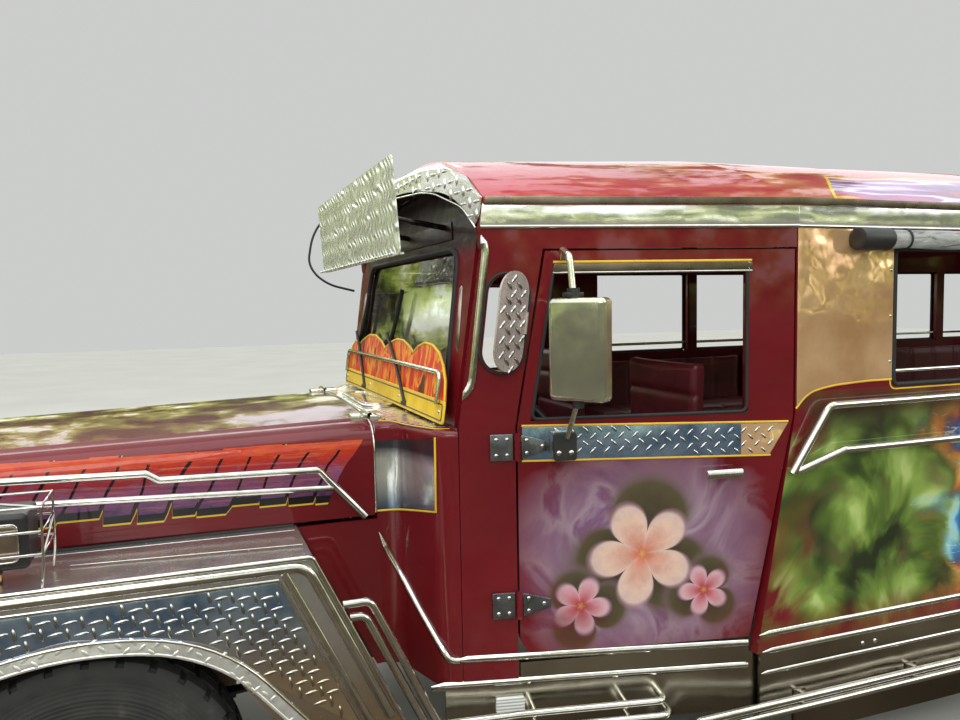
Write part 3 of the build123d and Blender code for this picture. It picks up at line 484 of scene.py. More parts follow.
plainLooks = {
    "framePaint": {"colour": (0.032, 0.031, 0.032), "darker": (0.014, 0.014, 0.015),
                   "grime": (0.12, 0.085, 0.06), "roughness": 0.45},
    "castMetal": {"colour": (0.17, 0.16, 0.15), "darker": (0.08, 0.07, 0.065), "grime": (0.20, 0.12, 0.08),
                  "roughness": 0.55, "metallic": 0.6, "bump": 0.4, "depth": 0.002},
    "blackPlastic": {"colour": (0.020, 0.020, 0.021), "darker": (0.012, 0.012, 0.013),
                     "grime": (0.06, 0.055, 0.05), "roughness": 0.35, "grain": 320.0},
    "rubberTrim": {"colour": (0.016, 0.016, 0.017), "darker": (0.010, 0.010, 0.011),
                   "grime": (0.05, 0.047, 0.043), "roughness": 0.55, "grain": 260.0},
    "rimPaint": {"colour": (0.42, 0.42, 0.43), "darker": (0.25, 0.245, 0.24), "grime": (0.30, 0.19, 0.12),
                 "roughness": 0.38, "cloud": 12.0},
    "innerPaint": {"colour": (0.11, 0.012, 0.017), "darker": (0.06, 0.006, 0.010),
                   "grime": (0.14, 0.08, 0.06), "roughness": 0.42},
    "floorSheet": {"colour": (0.16, 0.155, 0.15), "darker": (0.07, 0.065, 0.06), "grime": (0.20, 0.16, 0.12),
                   "roughness": 0.5, "metallic": 0.5, "bump": 0.3},
    "yellowPaint": {"colour": (0.78, 0.48, 0.03), "darker": (0.55, 0.32, 0.02), "roughness": 0.35},
    "yellowBoard": {"colour": (0.82, 0.56, 0.03), "darker": (0.60, 0.36, 0.02), "roughness": 0.4},
    "whitePlate": {"colour": (0.62, 0.62, 0.60), "darker": (0.45, 0.45, 0.42), "roughness": 0.4},
    "hubGrease": {"colour": (0.10, 0.095, 0.09), "darker": (0.03, 0.03, 0.03), "roughness": 0.4,
                  "metallic": 0.7},
}
plains = {name: plainFinish(name, look)[0] for name, look in plainLooks.items()}


def blossom(axes, middle, size, turnBy, petals):
    # a flower of broad petals: its edge swings in and out round the turn
    side = minus(axes[0], middle[0])
    rise = minus(axes[2], middle[1])
    turn = plus(mathOf("ARCTAN2", rise, side), turnBy)
    lobes = mathOf("ABSOLUTE", mathOf("COSINE", times(turn, petals / 2)))
    lobes = mathOf("POWER", lobes, 0.55)
    distance = mathOf("SQRT", plus(times(side, side), times(rise, rise)))
    edge = plus(times(lobes, size * 0.62), size * 0.38)
    within = over(distance, edge)
    return within, turn


def outerOnly(axes, mask):
    # keeps the art off the inner faces of a panel
    facing = splitPoint(addNode(mask, "ShaderNodeTexCoord").outputs["Normal"])
    outer = mathOf("GREATER_THAN", times(axes[1], facing[1]), 0.0)
    return times(mask, outer)


def airbrushDoor():
    # lilac mist fading into the maroon, with blossoms over dark leaves
    material, point, axes, tone = paintFinish("airbrushDoor", maroonLook)
    middle = {"x": 1.035, "z": 0.785}
    swirl = addNode(material, "ShaderNodeTexNoise", Scale=3.6, Detail=4.0, Roughness=0.5, Distortion=1.8)
    link(point, swirl.inputs["Vector"])
    side = over(minus(axes[0], middle["x"]), 0.375)
    rise = over(minus(axes[2], middle["z"]), 0.315)
    # a high power makes the patch of mist nearly square, as the panel is
    sidePower = mathOf("POWER", mathOf("ABSOLUTE", side), 2.6)
    risePower = mathOf("POWER", mathOf("ABSOLUTE", rise), 2.6)
    reach = plus(plus(sidePower, risePower), remap(swirl.outputs["Fac"], 0.3, 0.7, -0.25, 0.35))
    mist = remap(reach, 0.25, 1.25, 1.0, 0.0)
    lilac = rampColour(swirl.outputs["Fac"], [(0.30, (0.13, 0.055, 0.10)), (0.44, (0.21, 0.12, 0.185)),
            (0.54, (0.30, 0.215, 0.27)), (0.64, (0.17, 0.085, 0.19)), (0.78, (0.34, 0.26, 0.29))])
    art = lilac
    streak = noiseFactor(point, 26.0, 4.0, 0.6, 0.6)
    # each one's middle, size, turn, number of petals and kind
    flowers = (((1.030, 0.800), 0.235, 0.35, 3, "leaf"), ((1.205, 0.640), 0.135, 1.10, 3, "leaf"),
               ((0.850, 0.665), 0.120, 0.20, 3, "leaf"), ((1.215, 0.650), 0.088, 0.50, 5, "pink"),
               ((0.852, 0.672), 0.078, 1.30, 5, "pink"), ((1.035, 0.792), 0.158, 0.10, 5, "pale"))
    for place, size, turnBy, petals, kind in flowers:
        within, turn = blossom(axes, place, size, turnBy, petals)
        if kind == "leaf":
            stops = [(0.0, (0.030, 0.018, 0.016)), (0.45, (0.045, 0.030, 0.020)), (0.85, (0.075, 0.060, 0.030)),
                    (1.0, (0.16, 0.10, 0.12))]
        elif kind == "pink":
            stops = [(0.0, (0.55, 0.30, 0.05)), (0.16, (0.40, 0.05, 0.06)), (0.50, (0.52, 0.20, 0.24)),
                    (0.85, (0.56, 0.34, 0.38)), (1.0, (0.30, 0.16, 0.24))]
        else:
            stops = [(0.0, (0.62, 0.36, 0.08)), (0.10, (0.58, 0.17, 0.10)), (0.30, (0.60, 0.30, 0.23)),
                    (0.72, (0.64, 0.44, 0.36)), (0.92, (0.58, 0.42, 0.38)), (1.0, (0.34, 0.20, 0.24))]
        shade = rampColour(within, stops)
        veins = times(remap(streak, 0.35, 0.7, 0.0, 0.35), remap(within, 0.1, 0.8, 1.0, 0.4))
        shade = mixColour(veins, shade, (0.10, 0.04, 0.05) if kind != "leaf" else (0.10, 0.09, 0.04))
        soft = 0.16 if kind == "leaf" else 0.07
        art = mixColour(remap(within, 1.0 - soft, 1.0 + soft, 1.0, 0.0), art, shade)
    toShader(mixColour(outerOnly(axes, mist), tone, art), "Base Color")
    return material


def airbrushSide():
    # plump green forms near the seam, a blue and orange storm farther back, both over maroon
    material, point, axes, tone = paintFinish("airbrushSide", maroonLook)
    swirl = addNode(material, "ShaderNodeTexNoise", Scale=2.6, Detail=4.0, Roughness=0.5, Distortion=1.4)
    link(point, swirl.inputs["Vector"])
    drawn = splitPoint(swirl.outputs["Color"])
    push = addNode(material, "ShaderNodeCombineXYZ")
    for slot, axis in ((0, 0), (1, 2)):
        link(mathOf("MULTIPLY_ADD", drawn[axis], 0.34, axes[axis]), push.inputs[slot])

    def swellings(scale, smooth):
        cells = addNode(material, "ShaderNodeTexVoronoi", feature="SMOOTH_F1", voronoi_dimensions="2D", Scale=scale,
                Smoothness=smooth)
        link(push.outputs["Vector"], cells.inputs["Vector"])
        return cells.outputs["Distance"]

    large, small = swellings(4.2, 0.35), swellings(11.0, 0.5)
    form = plus(times(large, 0.9), times(small, 0.28))
    green = rampColour(form, [(0.14, (0.36, 0.45, 0.15)), (0.30, (0.20, 0.30, 0.058)), (0.46, (0.105, 0.17, 0.028)),
            (0.60, (0.050, 0.085, 0.016)), (0.76, (0.016, 0.024, 0.009))])
    green = mixColour(remap(swirl.outputs["Fac"], 0.56, 0.66, 0.0, 0.7), green, (0.10, 0.085, 0.03))
    storm = rampColour(form, [(0.16, (0.22, 0.50, 0.66)), (0.28, (0.05, 0.22, 0.42)), (0.40, (0.03, 0.05, 0.20)),
            (0.50, (0.22, 0.05, 0.10)), (0.58, (0.62, 0.16, 0.03)), (0.70, (0.70, 0.36, 0.08))])
    # fine hairs of paint drawn along the forms
    hairs = noiseFactor(objectPoint(material, (1.0, 1.0, 4.0), (0, 0.6, 0)), 12.0, 3.0, 0.5, 2.2)
    storm = mixColour(remap(hairs, 0.60, 0.70, 0.0, 0.7), storm, (0.46, 0.62, 0.70))
    drift = plus(axes[0], remap(swirl.outputs["Fac"], 0.3, 0.7, -0.22, 0.22))
    art = mixColour(remap(drift, -0.16, 0.06, 1.0, 0.0), green, storm)
    art = mixColour(remap(axes[2], 1.06, 1.17, 0.0, 0.75), art, (0.035, 0.030, 0.016))
    art = mixColour(remap(drift, -1.15, -0.75, 1.0, 0.0), art, tone)
    frontEdge = remap(drift, 0.60, 0.76, 1.0, 0.0)
    topEdge = remap(axes[2], 1.16, 1.24, 1.0, 0.35)
    lowEdge = remap(axes[2], 0.50, 0.60, 0.2, 1.0)
    mask = times(times(frontEdge, topEdge), lowEdge)
    toShader(mixColour(outerOnly(axes, mask), tone, art), "Base Color")
    return material


def hoodGraphic():
    # slanted brush strokes: warm at the shoulder, mauve below, a black shade and a thin yellow line about them
    material, point, axes, tone = paintFinish("hoodGraphic", maroonLook)
    x, y, z = axes
    look = {"pitch": 0.084, "lean": 0.46, "foot": 0.958, "footSwing": 0.030, "top": 1.122, "shade": 0.021,
            "line": 0.0050, "front": 2.93, "rear": 1.835}
    wobble = noiseFactor(objectPoint(material, (1, 1, 1)), 5.0, 2.0, 0.5)
    along = plus(x, times(z, look["lean"]))
    along = plus(along, remap(wobble, 0.3, 0.7, -0.014, 0.014))

    def strokes(shift, grow):
        # each stroke has its own width, foot and notch
        place = over(plus(along, shift), look["pitch"])
        cell = mathOf("FLOOR", place)
        part = mathOf("FRACT", place)
        chance = mathOf("FRACT", times(mathOf("SINE", times(cell, 12.9898)), 43.758))
        other = mathOf("FRACT", times(chance, 7.31))
        foot = plus(times(chance, look["footSwing"]), look["foot"] - grow)
        head = plus(times(other, 0.006), look["top"])
        # the notch between two strokes opens downwards
        height = minus(z, look["foot"])
        notch = plus(times(height, 5.2), times(other, 0.24))
        limit = plus(notch, 0.66 + grow * 7.0)
        inside = mathOf("LESS_THAN", part, limit)
        above = mathOf("GREATER_THAN", z, foot)
        below = mathOf("LESS_THAN", z, head)
        return times(times(inside, above), below)

    # the first and last strokes end on the slant
    ends = times(mathOf("GREATER_THAN", along, look["rear"] + 0.46), mathOf("LESS_THAN", x, look["front"]))
    body = times(strokes(0.0, 0.0), ends)
    shade = times(strokes(0.010, look["shade"]), ends)
    outline = times(strokes(0.0125, look["shade"] + look["line"]), ends)
    brush = noiseFactor(objectPoint(material, (5, 5, 22), (0, math.radians(22), 0)), 3.0, 6.0, 0.65, 1.2)
    level = plus(z, remap(brush, 0.3, 0.7, -0.030, 0.030))
    fill = rampColour(remap(level, 0.96, 1.13, 0, 1), [(0.0, (0.07, 0.025, 0.10)), (0.22, (0.17, 0.060, 0.155)),
            (0.46, (0.25, 0.075, 0.135)), (0.60, (0.30, 0.025, 0.035)), (0.80, (0.44, 0.030, 0.012)),
            (1.0, (0.50, 0.065, 0.012))])
    # painted highlight streaks, pale and warm, along the strokes
    highlightStreaks = noiseFactor(objectPoint(material, (3, 3, 40), (0, math.radians(-25), 0)), 2.2, 4.0, 0.6, 0.8)
    fill = mixColour(remap(highlightStreaks, 0.56, 0.68, 0.0, 0.55), fill, (0.48, 0.16, 0.10))
    # dark edges where one stroke laps the next
    place = mathOf("FRACT", over(plus(along, 0.012), look["pitch"]))
    lap = times(mathOf("LESS_THAN", place, 0.10), mathOf("LESS_THAN", z, 1.100))
    fill = mixColour(lap, fill, (0.014, 0.006, 0.012))
    art = mixColour(outline, tone, (0.62, 0.42, 0.03))
    art = mixColour(shade, art, (0.010, 0.007, 0.010))
    art = mixColour(body, art, fill)
    side = mathOf("GREATER_THAN", mathOf("ABSOLUTE", y), 0.405)
    toShader(mixColour(outerOnly(axes, side), tone, art), "Base Color")
    # the flat top shines more than the sides
    toShader(remap(side, 0.0, 1.0, 1.0, 0.45), "Coat Weight")
    shader = shaderOf(material)
    shader.inputs["Coat IOR"].default_value = 1.62
    shader.inputs["Coat Roughness"].default_value = 0.02
    return material


def screenFramePaint():
    # maroon below, and nearly black inside the arch that the brow shades
    material, point, axes, tone = paintFinish("screenFramePaint", maroonLook)
    shade = remap(axes[2], 1.655, 1.700, 0.0, 0.93)
    toShader(mixColour(shade, tone, (0.010, 0.0055, 0.005)), "Base Color")
    shaderOf(material).inputs["Coat Weight"].default_value = 0.12
    return material


def boardPaint():
    # warm flames: yellow at the edge, orange to red in the middle, a few dark strokes
    material, point, axes = plainFinish("boardPaint", {"colour": (0.80, 0.14, 0.012), "darker": (0.62, 0.05, 0.008),
            "grime": (0.80, 0.26, 0.02), "roughness": 0.4, "cloud": 16.0})
    lick = noiseFactor(objectPoint(material, (1, 1, 0.45)), 11.0, 3.0, 0.5, 1.4)
    flames = rampColour(lick, [(0.34, (0.52, 0.014, 0.008)), (0.44, (0.74, 0.055, 0.008)), (0.50, (0.84, 0.17, 0.012)),
            (0.57, (0.86, 0.36, 0.02)), (0.60, (0.60, 0.03, 0.008)), (0.70, (0.72, 0.10, 0.01))])
    dark = noiseFactor(objectPoint(material, (1, 1, 0.30), (0.25, 0, 0)), 9.0, 2.0, 0.4, 2.0)
    toShader(mixColour(remap(dark, 0.64, 0.66, 0.0, 0.9), flames, (0.03, 0.012, 0.008)), "Base Color")
    return material


def tyreRubber(name, middleX):
    # rings moulded in the sidewall, and dust
    material, point, axes = plainFinish(name, {"colour": (0.030, 0.029, 0.028), "darker": (0.016, 0.016, 0.016),
            "grime": (0.085, 0.075, 0.062), "roughness": 0.72, "cloud": 16.0})
    side = minus(axes[0], middleX)
    rise = minus(axes[2], 0.365)
    distance = mathOf("SQRT", plus(times(side, side), times(rise, rise)))
    rings = mathOf("SINE", times(distance, 620.0))
    keep = remap(distance, 0.27, 0.33, 1.0, 0.0)
    addBump(times(rings, keep), 0.5, 0.0015)
    return material


def clearGlass():
    material = newFinish("clearGlass", (0.86, 0.91, 0.88), 0.02, Transmission_Weight=1.0)
    shaderOf(material).inputs["IOR"].default_value = 1.45
    point = objectPoint(material)
    smear = noiseFactor(point, 9.0, 6.0, 0.7)
    toShader(remap(smear, 0.45, 0.8, 0.01, 0.14), "Roughness")
    return material


def mirrorGlass():
    material = newFinish("mirrorGlass", (0.82, 0.84, 0.84), 0.01, 1.0)
    point = objectPoint(material)
    toShader(remap(noiseFactor(point, 20.0, 5.0), 0.4, 0.8, 0.01, 0.12), "Roughness")
    return material


def lensFinish(name, colour):
    # moulded lens: upright flutes under a glossy face
    material = newFinish(name, colour, 0.12, Coat_Weight=1.0)
    point = objectPoint(material)
    wave = addNode(material, "ShaderNodeTexWave", Scale=34.0, Distortion=0.4, bands_direction="Z")
    link(point, wave.inputs["Vector"])
    # the flutes are painted darker in their troughs: painted shade
    toShader(rampColour(wave.outputs["Fac"], [(0.1, tuple(0.55 * c for c in colour)), (0.7, colour)]), "Base Color")
    addBump(wave.outputs["Fac"], 0.5, 0.002)
    return material


def seatVinyl():
    # maroon vinyl: fine pebble grain, paler where it is rubbed
    material = newFinish("seatVinyl", (0.16, 0.018, 0.026), 0.42)
    point = objectPoint(material)
    worn = noiseFactor(point, 6.0, 6.0, 0.65)
    toShader(rampColour(worn, [(0.32, (0.10, 0.010, 0.016)), (0.62, (0.17, 0.020, 0.028)),
            (0.80, (0.28, 0.07, 0.07))]), "Base Color")
    toShader(remap(worn, 0.3, 0.8, 0.50, 0.30), "Roughness")
    pebble = addNode(material, "ShaderNodeTexVoronoi", Scale=260.0)
    link(point, pebble.inputs["Vector"])
    addBump(pebble.outputs["Distance"], 0.30, 0.0012)
    return material


def curtainPlastic():
    # clouded clear sheet with fine creases across the roll
    material = newFinish("curtainPlastic", (0.40, 0.41, 0.40), 0.32, Transmission_Weight=0.25)
    point = objectPoint(material)
    crease = noiseFactor(objectPoint(material, (3.0, 14.0, 14.0)), 5.0, 7.0, 0.65, 0.8)
    # the creases are also painted: paler on their ridges and darker in their folds, as painted light and shade
    toShader(rampColour(crease, [(0.32, (0.16, 0.165, 0.16)), (0.55, (0.40, 0.41, 0.40)), (0.78, (0.62, 0.63, 0.60))]),
            "Base Color")
    toShader(remap(crease, 0.3, 0.8, 0.24, 0.45), "Roughness")
    addBump(crease, 0.7, 0.006)
    return material


finishes = {
    "maroonPaint": maroonPaint, "roofPaint": roofPaint, "rippleSteel": rippleSteel(),
    "airbrushDoor": airbrushDoor(), "airbrushSide": airbrushSide(), "hoodGraphic": hoodGraphic(),
    "frontTyre": tyreRubber("frontTyre", 2.5), "rearTyre": tyreRubber("rearTyre", -1.2),
    "clearGlass": clearGlass(), "mirrorGlass": mirrorGlass(), "seatVinyl": seatVinyl(),
    "curtainPlastic": curtainPlastic(), "screenFramePaint": screenFramePaint(), "boardPaint": boardPaint(),
    "amberLens": lensFinish("amberLens", (0.60, 0.20, 0.02)),
    "redLens": lensFinish("redLens", (0.48, 0.015, 0.012)), "clearLens": lensFinish("clearLens", (0.72, 0.74, 0.72)),
    **steels, **plains}

# the finish of each CAD node: by its slot, then by its own name
slotFinish = {"body_paint": "maroonPaint", "roof_paint": "roofPaint", "stainless": "polishedSteel",
              "chrome": "chrome", "frame_paint": "framePaint", "cast_metal": "castMetal",
              "tyre": "frontTyre", "rim_paint": "rimPaint", "glass": "clearGlass", "seat_cover": "seatVinyl",
              "rain_curtain": "curtainPlastic", "black_plastic": "blackPlastic", "lamp_lens": "blackPlastic"}
nodeFinish = {"hood": "hoodGraphic", "door_left": "airbrushDoor", "door_right": "airbrushDoor",
              "side_panels": "airbrushSide", "roof_brow": "browSteel", "sun_visor": "rippleSteel",
              "front_fenders": "fenderSteel", "side_skirts": "skirtSteel", "floor_pan": "floorSheet",
              "seat_boxes": "innerPaint", "bench_frames": "innerPaint", "tyre_rear_left": "rearTyre",
              "tyre_rear_right": "rearTyre", "vent_flap_left": "flapSteel", "vent_flap_right": "flapSteel",
              "rear_header": "maroonPaint", "windscreen_frame": "screenFramePaint",
              "mirror_left": "housingSteel", "mirror_right": "housingSteel"}
for row in frame["record"]["subparts"]:
    node = frame["nodes"][row["node"]]
    chosen = nodeFinish.get(row["node"], slotFinish[row["material_slot"]])
    node.data.materials.clear()
    node.data.materials.append(finishes[chosen])
print("stage: every CAD node has its finish")

# planes that flat pieces are drawn on: a point, the way along, the way up and the way out
taperSlope = math.tan(math.radians(12))
screenRake = math.radians(8)
cheekTurn = math.atan2(0.068, 0.378)
planes = {
    "cab": ((0, 0.950 + 0.576 * taperSlope, 0), (1, -taperSlope, 0), (0, 0, 1),
            (math.sin(math.radians(12)), math.cos(math.radians(12)), 0)),
    "side": ((0, 0.950, 0), (1, 0, 0), (0, 0, 1), (0, 1, 0)),
    "fender": ((0, 0.880, 0), (1, 0, 0), (0, 0, 1), (0, 1, 0)),
    "screen": ((1.550, 0, 1.172), (0, 1, 0), (-math.sin(screenRake), 0, math.cos(screenRake)),
               (math.cos(screenRake), 0, math.sin(screenRake))),
    "rear": ((-3.0, 0, 0), (0, 1, 0), (0, 0, 1), (-1, 0, 0)),
    "front": ((2.995, 0, 0), (0, 1, 0), (0, 0, 1), (1, 0, 0)),
    "bumper": ((3.2, 0, 0), (0, 1, 0), (0, 0, 1), (1, 0, 0)),
    "ground": ((0, 0, 0), (1, 0, 0), (0, 1, 0), (0, 0, 1)),
    "brow": ((1.545, 0, 0), (0, 1, 0), (0, 0, 1), (1, 0, 0)),
    "crown": ((0, 0, 2.0), (1, 0, 0), (0, 1, 0), (0, 0, 1)),
    "cheek": ((1.545, 0.412, 1.808), (-math.sin(cheekTurn), math.cos(cheekTurn), 0), (0, 0, 1),
              (math.cos(cheekTurn), math.sin(cheekTurn), 0)),
}


def planeMatrix(name, lift):
    start, along, up, out = (Vector(part) for part in planes[name])
    matrix = Matrix((along, up, out)).transposed().to_4x4()
    matrix.translation = start + out * lift
    return matrix


def dress(piece, name, finish, body="body", angle=38):
    # closes a made piece off: place into the mesh, outward faces, finish and body
    piece.name = name
    settle(piece)
    editAll()
    bpy.ops.mesh.remove_doubles(threshold=0.00002)
    bpy.ops.mesh.normals_make_consistent(inside=False)
    bpy.ops.object.mode_set(mode="OBJECT")
    bpy.ops.object.shade_smooth_by_angle(angle=math.radians(angle))
    piece.data.materials.clear()
    piece.data.materials.append(finishes[finish])
    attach(piece, body)
    return piece


def copyOf(piece, name, matrix, body):
    # a copy with its own mesh, put at this place
    copy = piece.copy()
    copy.data = piece.data.copy()
    bpy.context.collection.objects.link(copy)
    copy.name = name
    copy.parent = None
    copy.matrix_world = matrix
    settle(copy)
    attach(copy, body)
    return copy


def twinOf(piece, body):
    # the same piece on the far side
    name = piece.name.replace("Left", "Right") if "Left" in piece.name else piece.name + "Far"
    twin = copyOf(piece, name, Matrix.Diagonal((1, -1, 1, 1)), body)
    editAll()
    bpy.ops.mesh.normals_make_consistent(inside=False)
    bpy.ops.object.mode_set(mode="OBJECT")
    return twin


farBody = {"left_door": "right_door", "left_vent_flap": "right_vent_flap"}


def bothSides(piece, body):
    return piece, twinOf(piece, farBody.get(body, body))


def bentPath(points, bend):
    # the points with each inner corner rounded to an arc
    points = [Vector(point) for point in points]
    path = [points[0]]
    last = len(points) - 1
    for count in range(1, last):
        corner = points[count]
        into, away = points[count - 1] - corner, points[count + 1] - corner
        reach = min(bend, into.length * (0.98 if count == 1 else 0.49),
                    away.length * (0.98 if count == last - 1 else 0.49))
        start, end = corner + into.normalized() * reach, corner + away.normalized() * reach
        weight = math.sin(into.angle(away) / 2)
        for step in range(9):
            t = step / 8
            a, b, c = (1 - t) ** 2, 2 * t * (1 - t) * weight, t * t
            path.append((start * a + corner * b + end * c) / (a + b + c))
    path.append(points[-1])
    return path


def withStop(path, distance):
    # the path with one more point at this distance from its start
    run = 0.0
    for count in range(len(path) - 1):
        step = (path[count + 1] - path[count]).length
        if run + step > distance:
            return path[:count + 1] + [path[count].lerp(path[count + 1], (distance - run) / step)] + path[count + 1:]
        run += step
    return path


def newCurve(name, rings, dimensions, closed):
    curve = bpy.data.curves.new(name, "CURVE")
    curve.dimensions = dimensions
    for ring in rings:
        spline = curve.splines.new("POLY")
        spline.points.add(len(ring) - 1)
        for point, place in zip(spline.points, ring):
            point.co = (*place, *([0.0] * (3 - len(place))), 1.0)
        spline.use_cyclic_u = closed
    piece = bpy.data.objects.new(name, curve)
    bpy.context.collection.objects.link(piece)
    return piece


def oblong(left, low, right, high):
    # the corners of an upright rectangle
    return [(left, low), (right, low), (right, high), (left, high)]


def toMesh(piece):
    pick(piece)
    bpy.ops.object.convert(target="MESH")
    return bpy.context.object


def finished(piece, body, both):
    return bothSides(piece, body) if both else (piece,)


def addPlate(name, plane, outline, thickness, lift, finish, body="body", bevel=0.0, both=True):
    piece = newCurve(name, [outline], "2D", True)
    piece.data.fill_mode = "BOTH"
    piece.data.extrude = thickness / 2 - bevel
    piece.data.bevel_depth = bevel
    piece.data.offset = -bevel
    piece.data.bevel_resolution = 2
    piece.matrix_world = planeMatrix(plane, lift + thickness / 2)
    piece = dress(toMesh(piece), name, finish, body)
    return finished(piece, body, both)


def addTrim(name, plane, points, radius, finish="chrome", body="body", lift=0.0, flat=1.0, bend=0.03, closed=False,
            both=True, tips=(0.0, 0.0)):
    # a bead or tube laid along a line on a plane, or in space where the plane is None; its tips may come to a point
    path = bentPath(points, bend) if bend and not closed else [Vector(p) for p in points]
    if tips[0]:
        path = withStop(path, tips[0])
    if tips[1]:
        path = withStop(path[::-1], tips[1])[::-1]
    piece = newCurve(name, [path], "3D", closed)
    total = sum((after - before).length for before, after in zip(path, path[1:]))
    run = 0.0
    for count, point in enumerate(piece.data.splines[0].points):
        run += (path[count] - path[count - 1]).length if count else 0.0
        for tip, away in ((tips[0], run), (tips[1], total - run)):
            if tip and away < tip:
                point.radius = 0.12 + 0.88 * away / tip
    piece.data.bevel_depth = radius
    piece.data.bevel_resolution = 2
    piece.data.use_fill_caps = True
    if plane:
        piece.matrix_world = planeMatrix(plane, lift) @ Matrix.Diagonal((1, 1, flat, 1))
    piece = dress(toMesh(piece), name, finish, body, angle=50)
    return finished(piece, body, both)


def addBlock(name, low, high, bevel, finish="polishedSteel", body="body", both=True):
    # a block with rounded edges
    deselectAll()
    bpy.ops.mesh.primitive_cube_add(size=1.0, location=(Vector(high) + Vector(low)) / 2)
    piece = bpy.context.object
    piece.scale = Vector(high) - Vector(low)
    bpy.ops.object.transform_apply(location=False, rotation=False, scale=True)
    bevelling = piece.modifiers.new("bevel", "BEVEL")
    bevelling.width = bevel
    bevelling.segments = 2
    bevelling.limit_method = "ANGLE"
    applyModifiers(piece)
    return finished(dress(piece, name, finish, body), body, both)


def turnedPiece(name, profile, place, turn, finish="chrome", body="body", sides=40, both=True):
    # a disc drawn out step by step: each row of the profile is a distance along the axis and a radius
    deselectAll()
    bpy.ops.mesh.primitive_circle_add(vertices=sides, radius=profile[0][1], fill_type="NGON",
                                      location=(0, 0, profile[0][0]))
    piece = bpy.context.object
    bpy.ops.object.mode_set(mode="EDIT")
    for (at, radius), (nextAt, nextRadius) in zip(profile, profile[1:]):
        bpy.ops.mesh.extrude_region_move(TRANSFORM_OT_translate={"value": (0, 0, nextAt - at)})
        if abs(nextRadius - radius) > 0.000001:
            grow = nextRadius / radius
            bpy.ops.transform.resize(value=(grow, grow, 1.0), center_override=(0, 0, nextAt))
    bpy.ops.object.mode_set(mode="OBJECT")
    piece.location = place
    piece.rotation_euler = turn
    return finished(dress(piece, name, finish, body, angle=32), body, both)


def joinAll(pieces):
    deselectAll()
    for piece in pieces:
        piece.select_set(True)
    bpy.context.view_layer.objects.active = pieces[0]
    bpy.ops.object.join()
    return bpy.context.object


def copiesOf(master, places):
    # one copy of the master at each place, joined
    copies = []
    for place in places:
        copy = master.copy()
        copy.data = master.data.copy()
        bpy.context.collection.objects.link(copy)
        copy.matrix_world = place
        copies.append(copy)
    bpy.data.objects.remove(master)
    return joinAll(copies)


def addStuds(name, plane, spots, radius, finish="chrome", body="body", lift=0.0, both=True):
    # domed bolt heads
    deselectAll()
    bpy.ops.mesh.primitive_uv_sphere_add(segments=12, ring_count=6, radius=radius)
    master = bpy.context.object
    master.scale = (1, 1, 0.55)
    settle(master)
    base = planeMatrix(plane, lift)
    piece = copiesOf(master, [base @ Matrix.Translation((*spot, 0)) for spot in spots])
    return finished(dress(piece, name, finish, body), body, both)


def insideOutline(spot, outline):
    found = False
    for (x0, y0), (x1, y1) in zip(outline, outline[1:] + outline[:1]):
        if (y0 > spot[1]) != (y1 > spot[1]) and spot[0] < (x1 - x0) * (spot[1] - y0) / (y1 - y0) + x0:
            found = not found
    return found


def addTread(name, nodeName, plane, outline, look, finish="treadSteel", body="body", both=True):
    # raised lozenges set square to each other, laid on a CAD node's own surface
    deselectAll()
    bpy.ops.mesh.primitive_uv_sphere_add(segments=8, ring_count=4, radius=1.0)
    master = bpy.context.object
    master.scale = (look["length"] / 2, look["width"] / 2, look["rise"])
    settle(master)
    base = planeMatrix(plane, 0.25)
    out = base.to_3x3() @ Vector((0, 0, 1))
    along = (base.to_3x3() @ Vector((1, 0, 0))).normalized()
    node = frame["nodes"][nodeName]
    lows = [min(p[axis] for p in outline) for axis in (0, 1)]
    highs = [max(p[axis] for p in outline) for axis in (0, 1)]
    places = []
    pitch, lean = look["pitch"], math.radians(look["lean"])
    reach = int(max(highs[0] - lows[0], highs[1] - lows[1]) / pitch) + 2
    middle = Vector(((lows[0] + highs[0]) / 2, (lows[1] + highs[1]) / 2))
    for row in range(-reach, reach + 1):
        for column in range(-reach, reach + 1):
            spot = middle + Matrix.Rotation(lean, 2) @ Vector((column * pitch, row * pitch))
            if not insideOutline(spot, outline):
                continue
            hit, place, normal, _ = node.ray_cast(base @ Vector((*spot, 0)), -out.normalized(), distance=0.6)
            if not hit:
                continue
            turn = lean + (math.pi / 2 if (row + column) % 2 else 0.0)
            across = normal.cross(along - normal * along.dot(normal)).normalized()
            ahead = across.cross(normal)
            square = Matrix((ahead, across, normal)).transposed().to_4x4()
            places.append(Matrix.Translation(place) @ square @ Matrix.Rotation(turn * look.get("hand", 1), 4, "Z"))
    return finished(dress(copiesOf(master, places), name, finish, body, angle=70), body, both)


def ringAround(middle, width, height, lean, steps=10):
    # the outline of an upright slot
    radius = width / 2
    straight = height / 2 - radius
    points = []
    for step in range(steps + 1):
        turn = math.pi * step / steps
        points.append(Vector((radius * math.cos(turn), straight + radius * math.sin(turn))))
    for step in range(steps + 1):
        turn = math.pi + math.pi * step / steps
        points.append(Vector((radius * math.cos(turn), -straight + radius * math.sin(turn))))
    spin = Matrix.Rotation(lean, 2)
    return [spin @ point + Vector(middle) for point in points]


def roundedRing(corners, radius, steps=5):
    # a closed outline with rounded corners
    ring = []
    for before, corner, after in zip(corners[-1:] + corners[:-1], corners, corners[1:] + corners[:1]):
        before, corner, after = Vector(before), Vector(corner), Vector(after)
        start = corner + (before - corner).normalized() * radius
        end = corner + (after - corner).normalized() * radius
        for step in range(steps + 1):
            t = step / steps
            ring.append(start * (1 - t) ** 2 + corner * 2 * t * (1 - t) + end * t * t)
    return ring


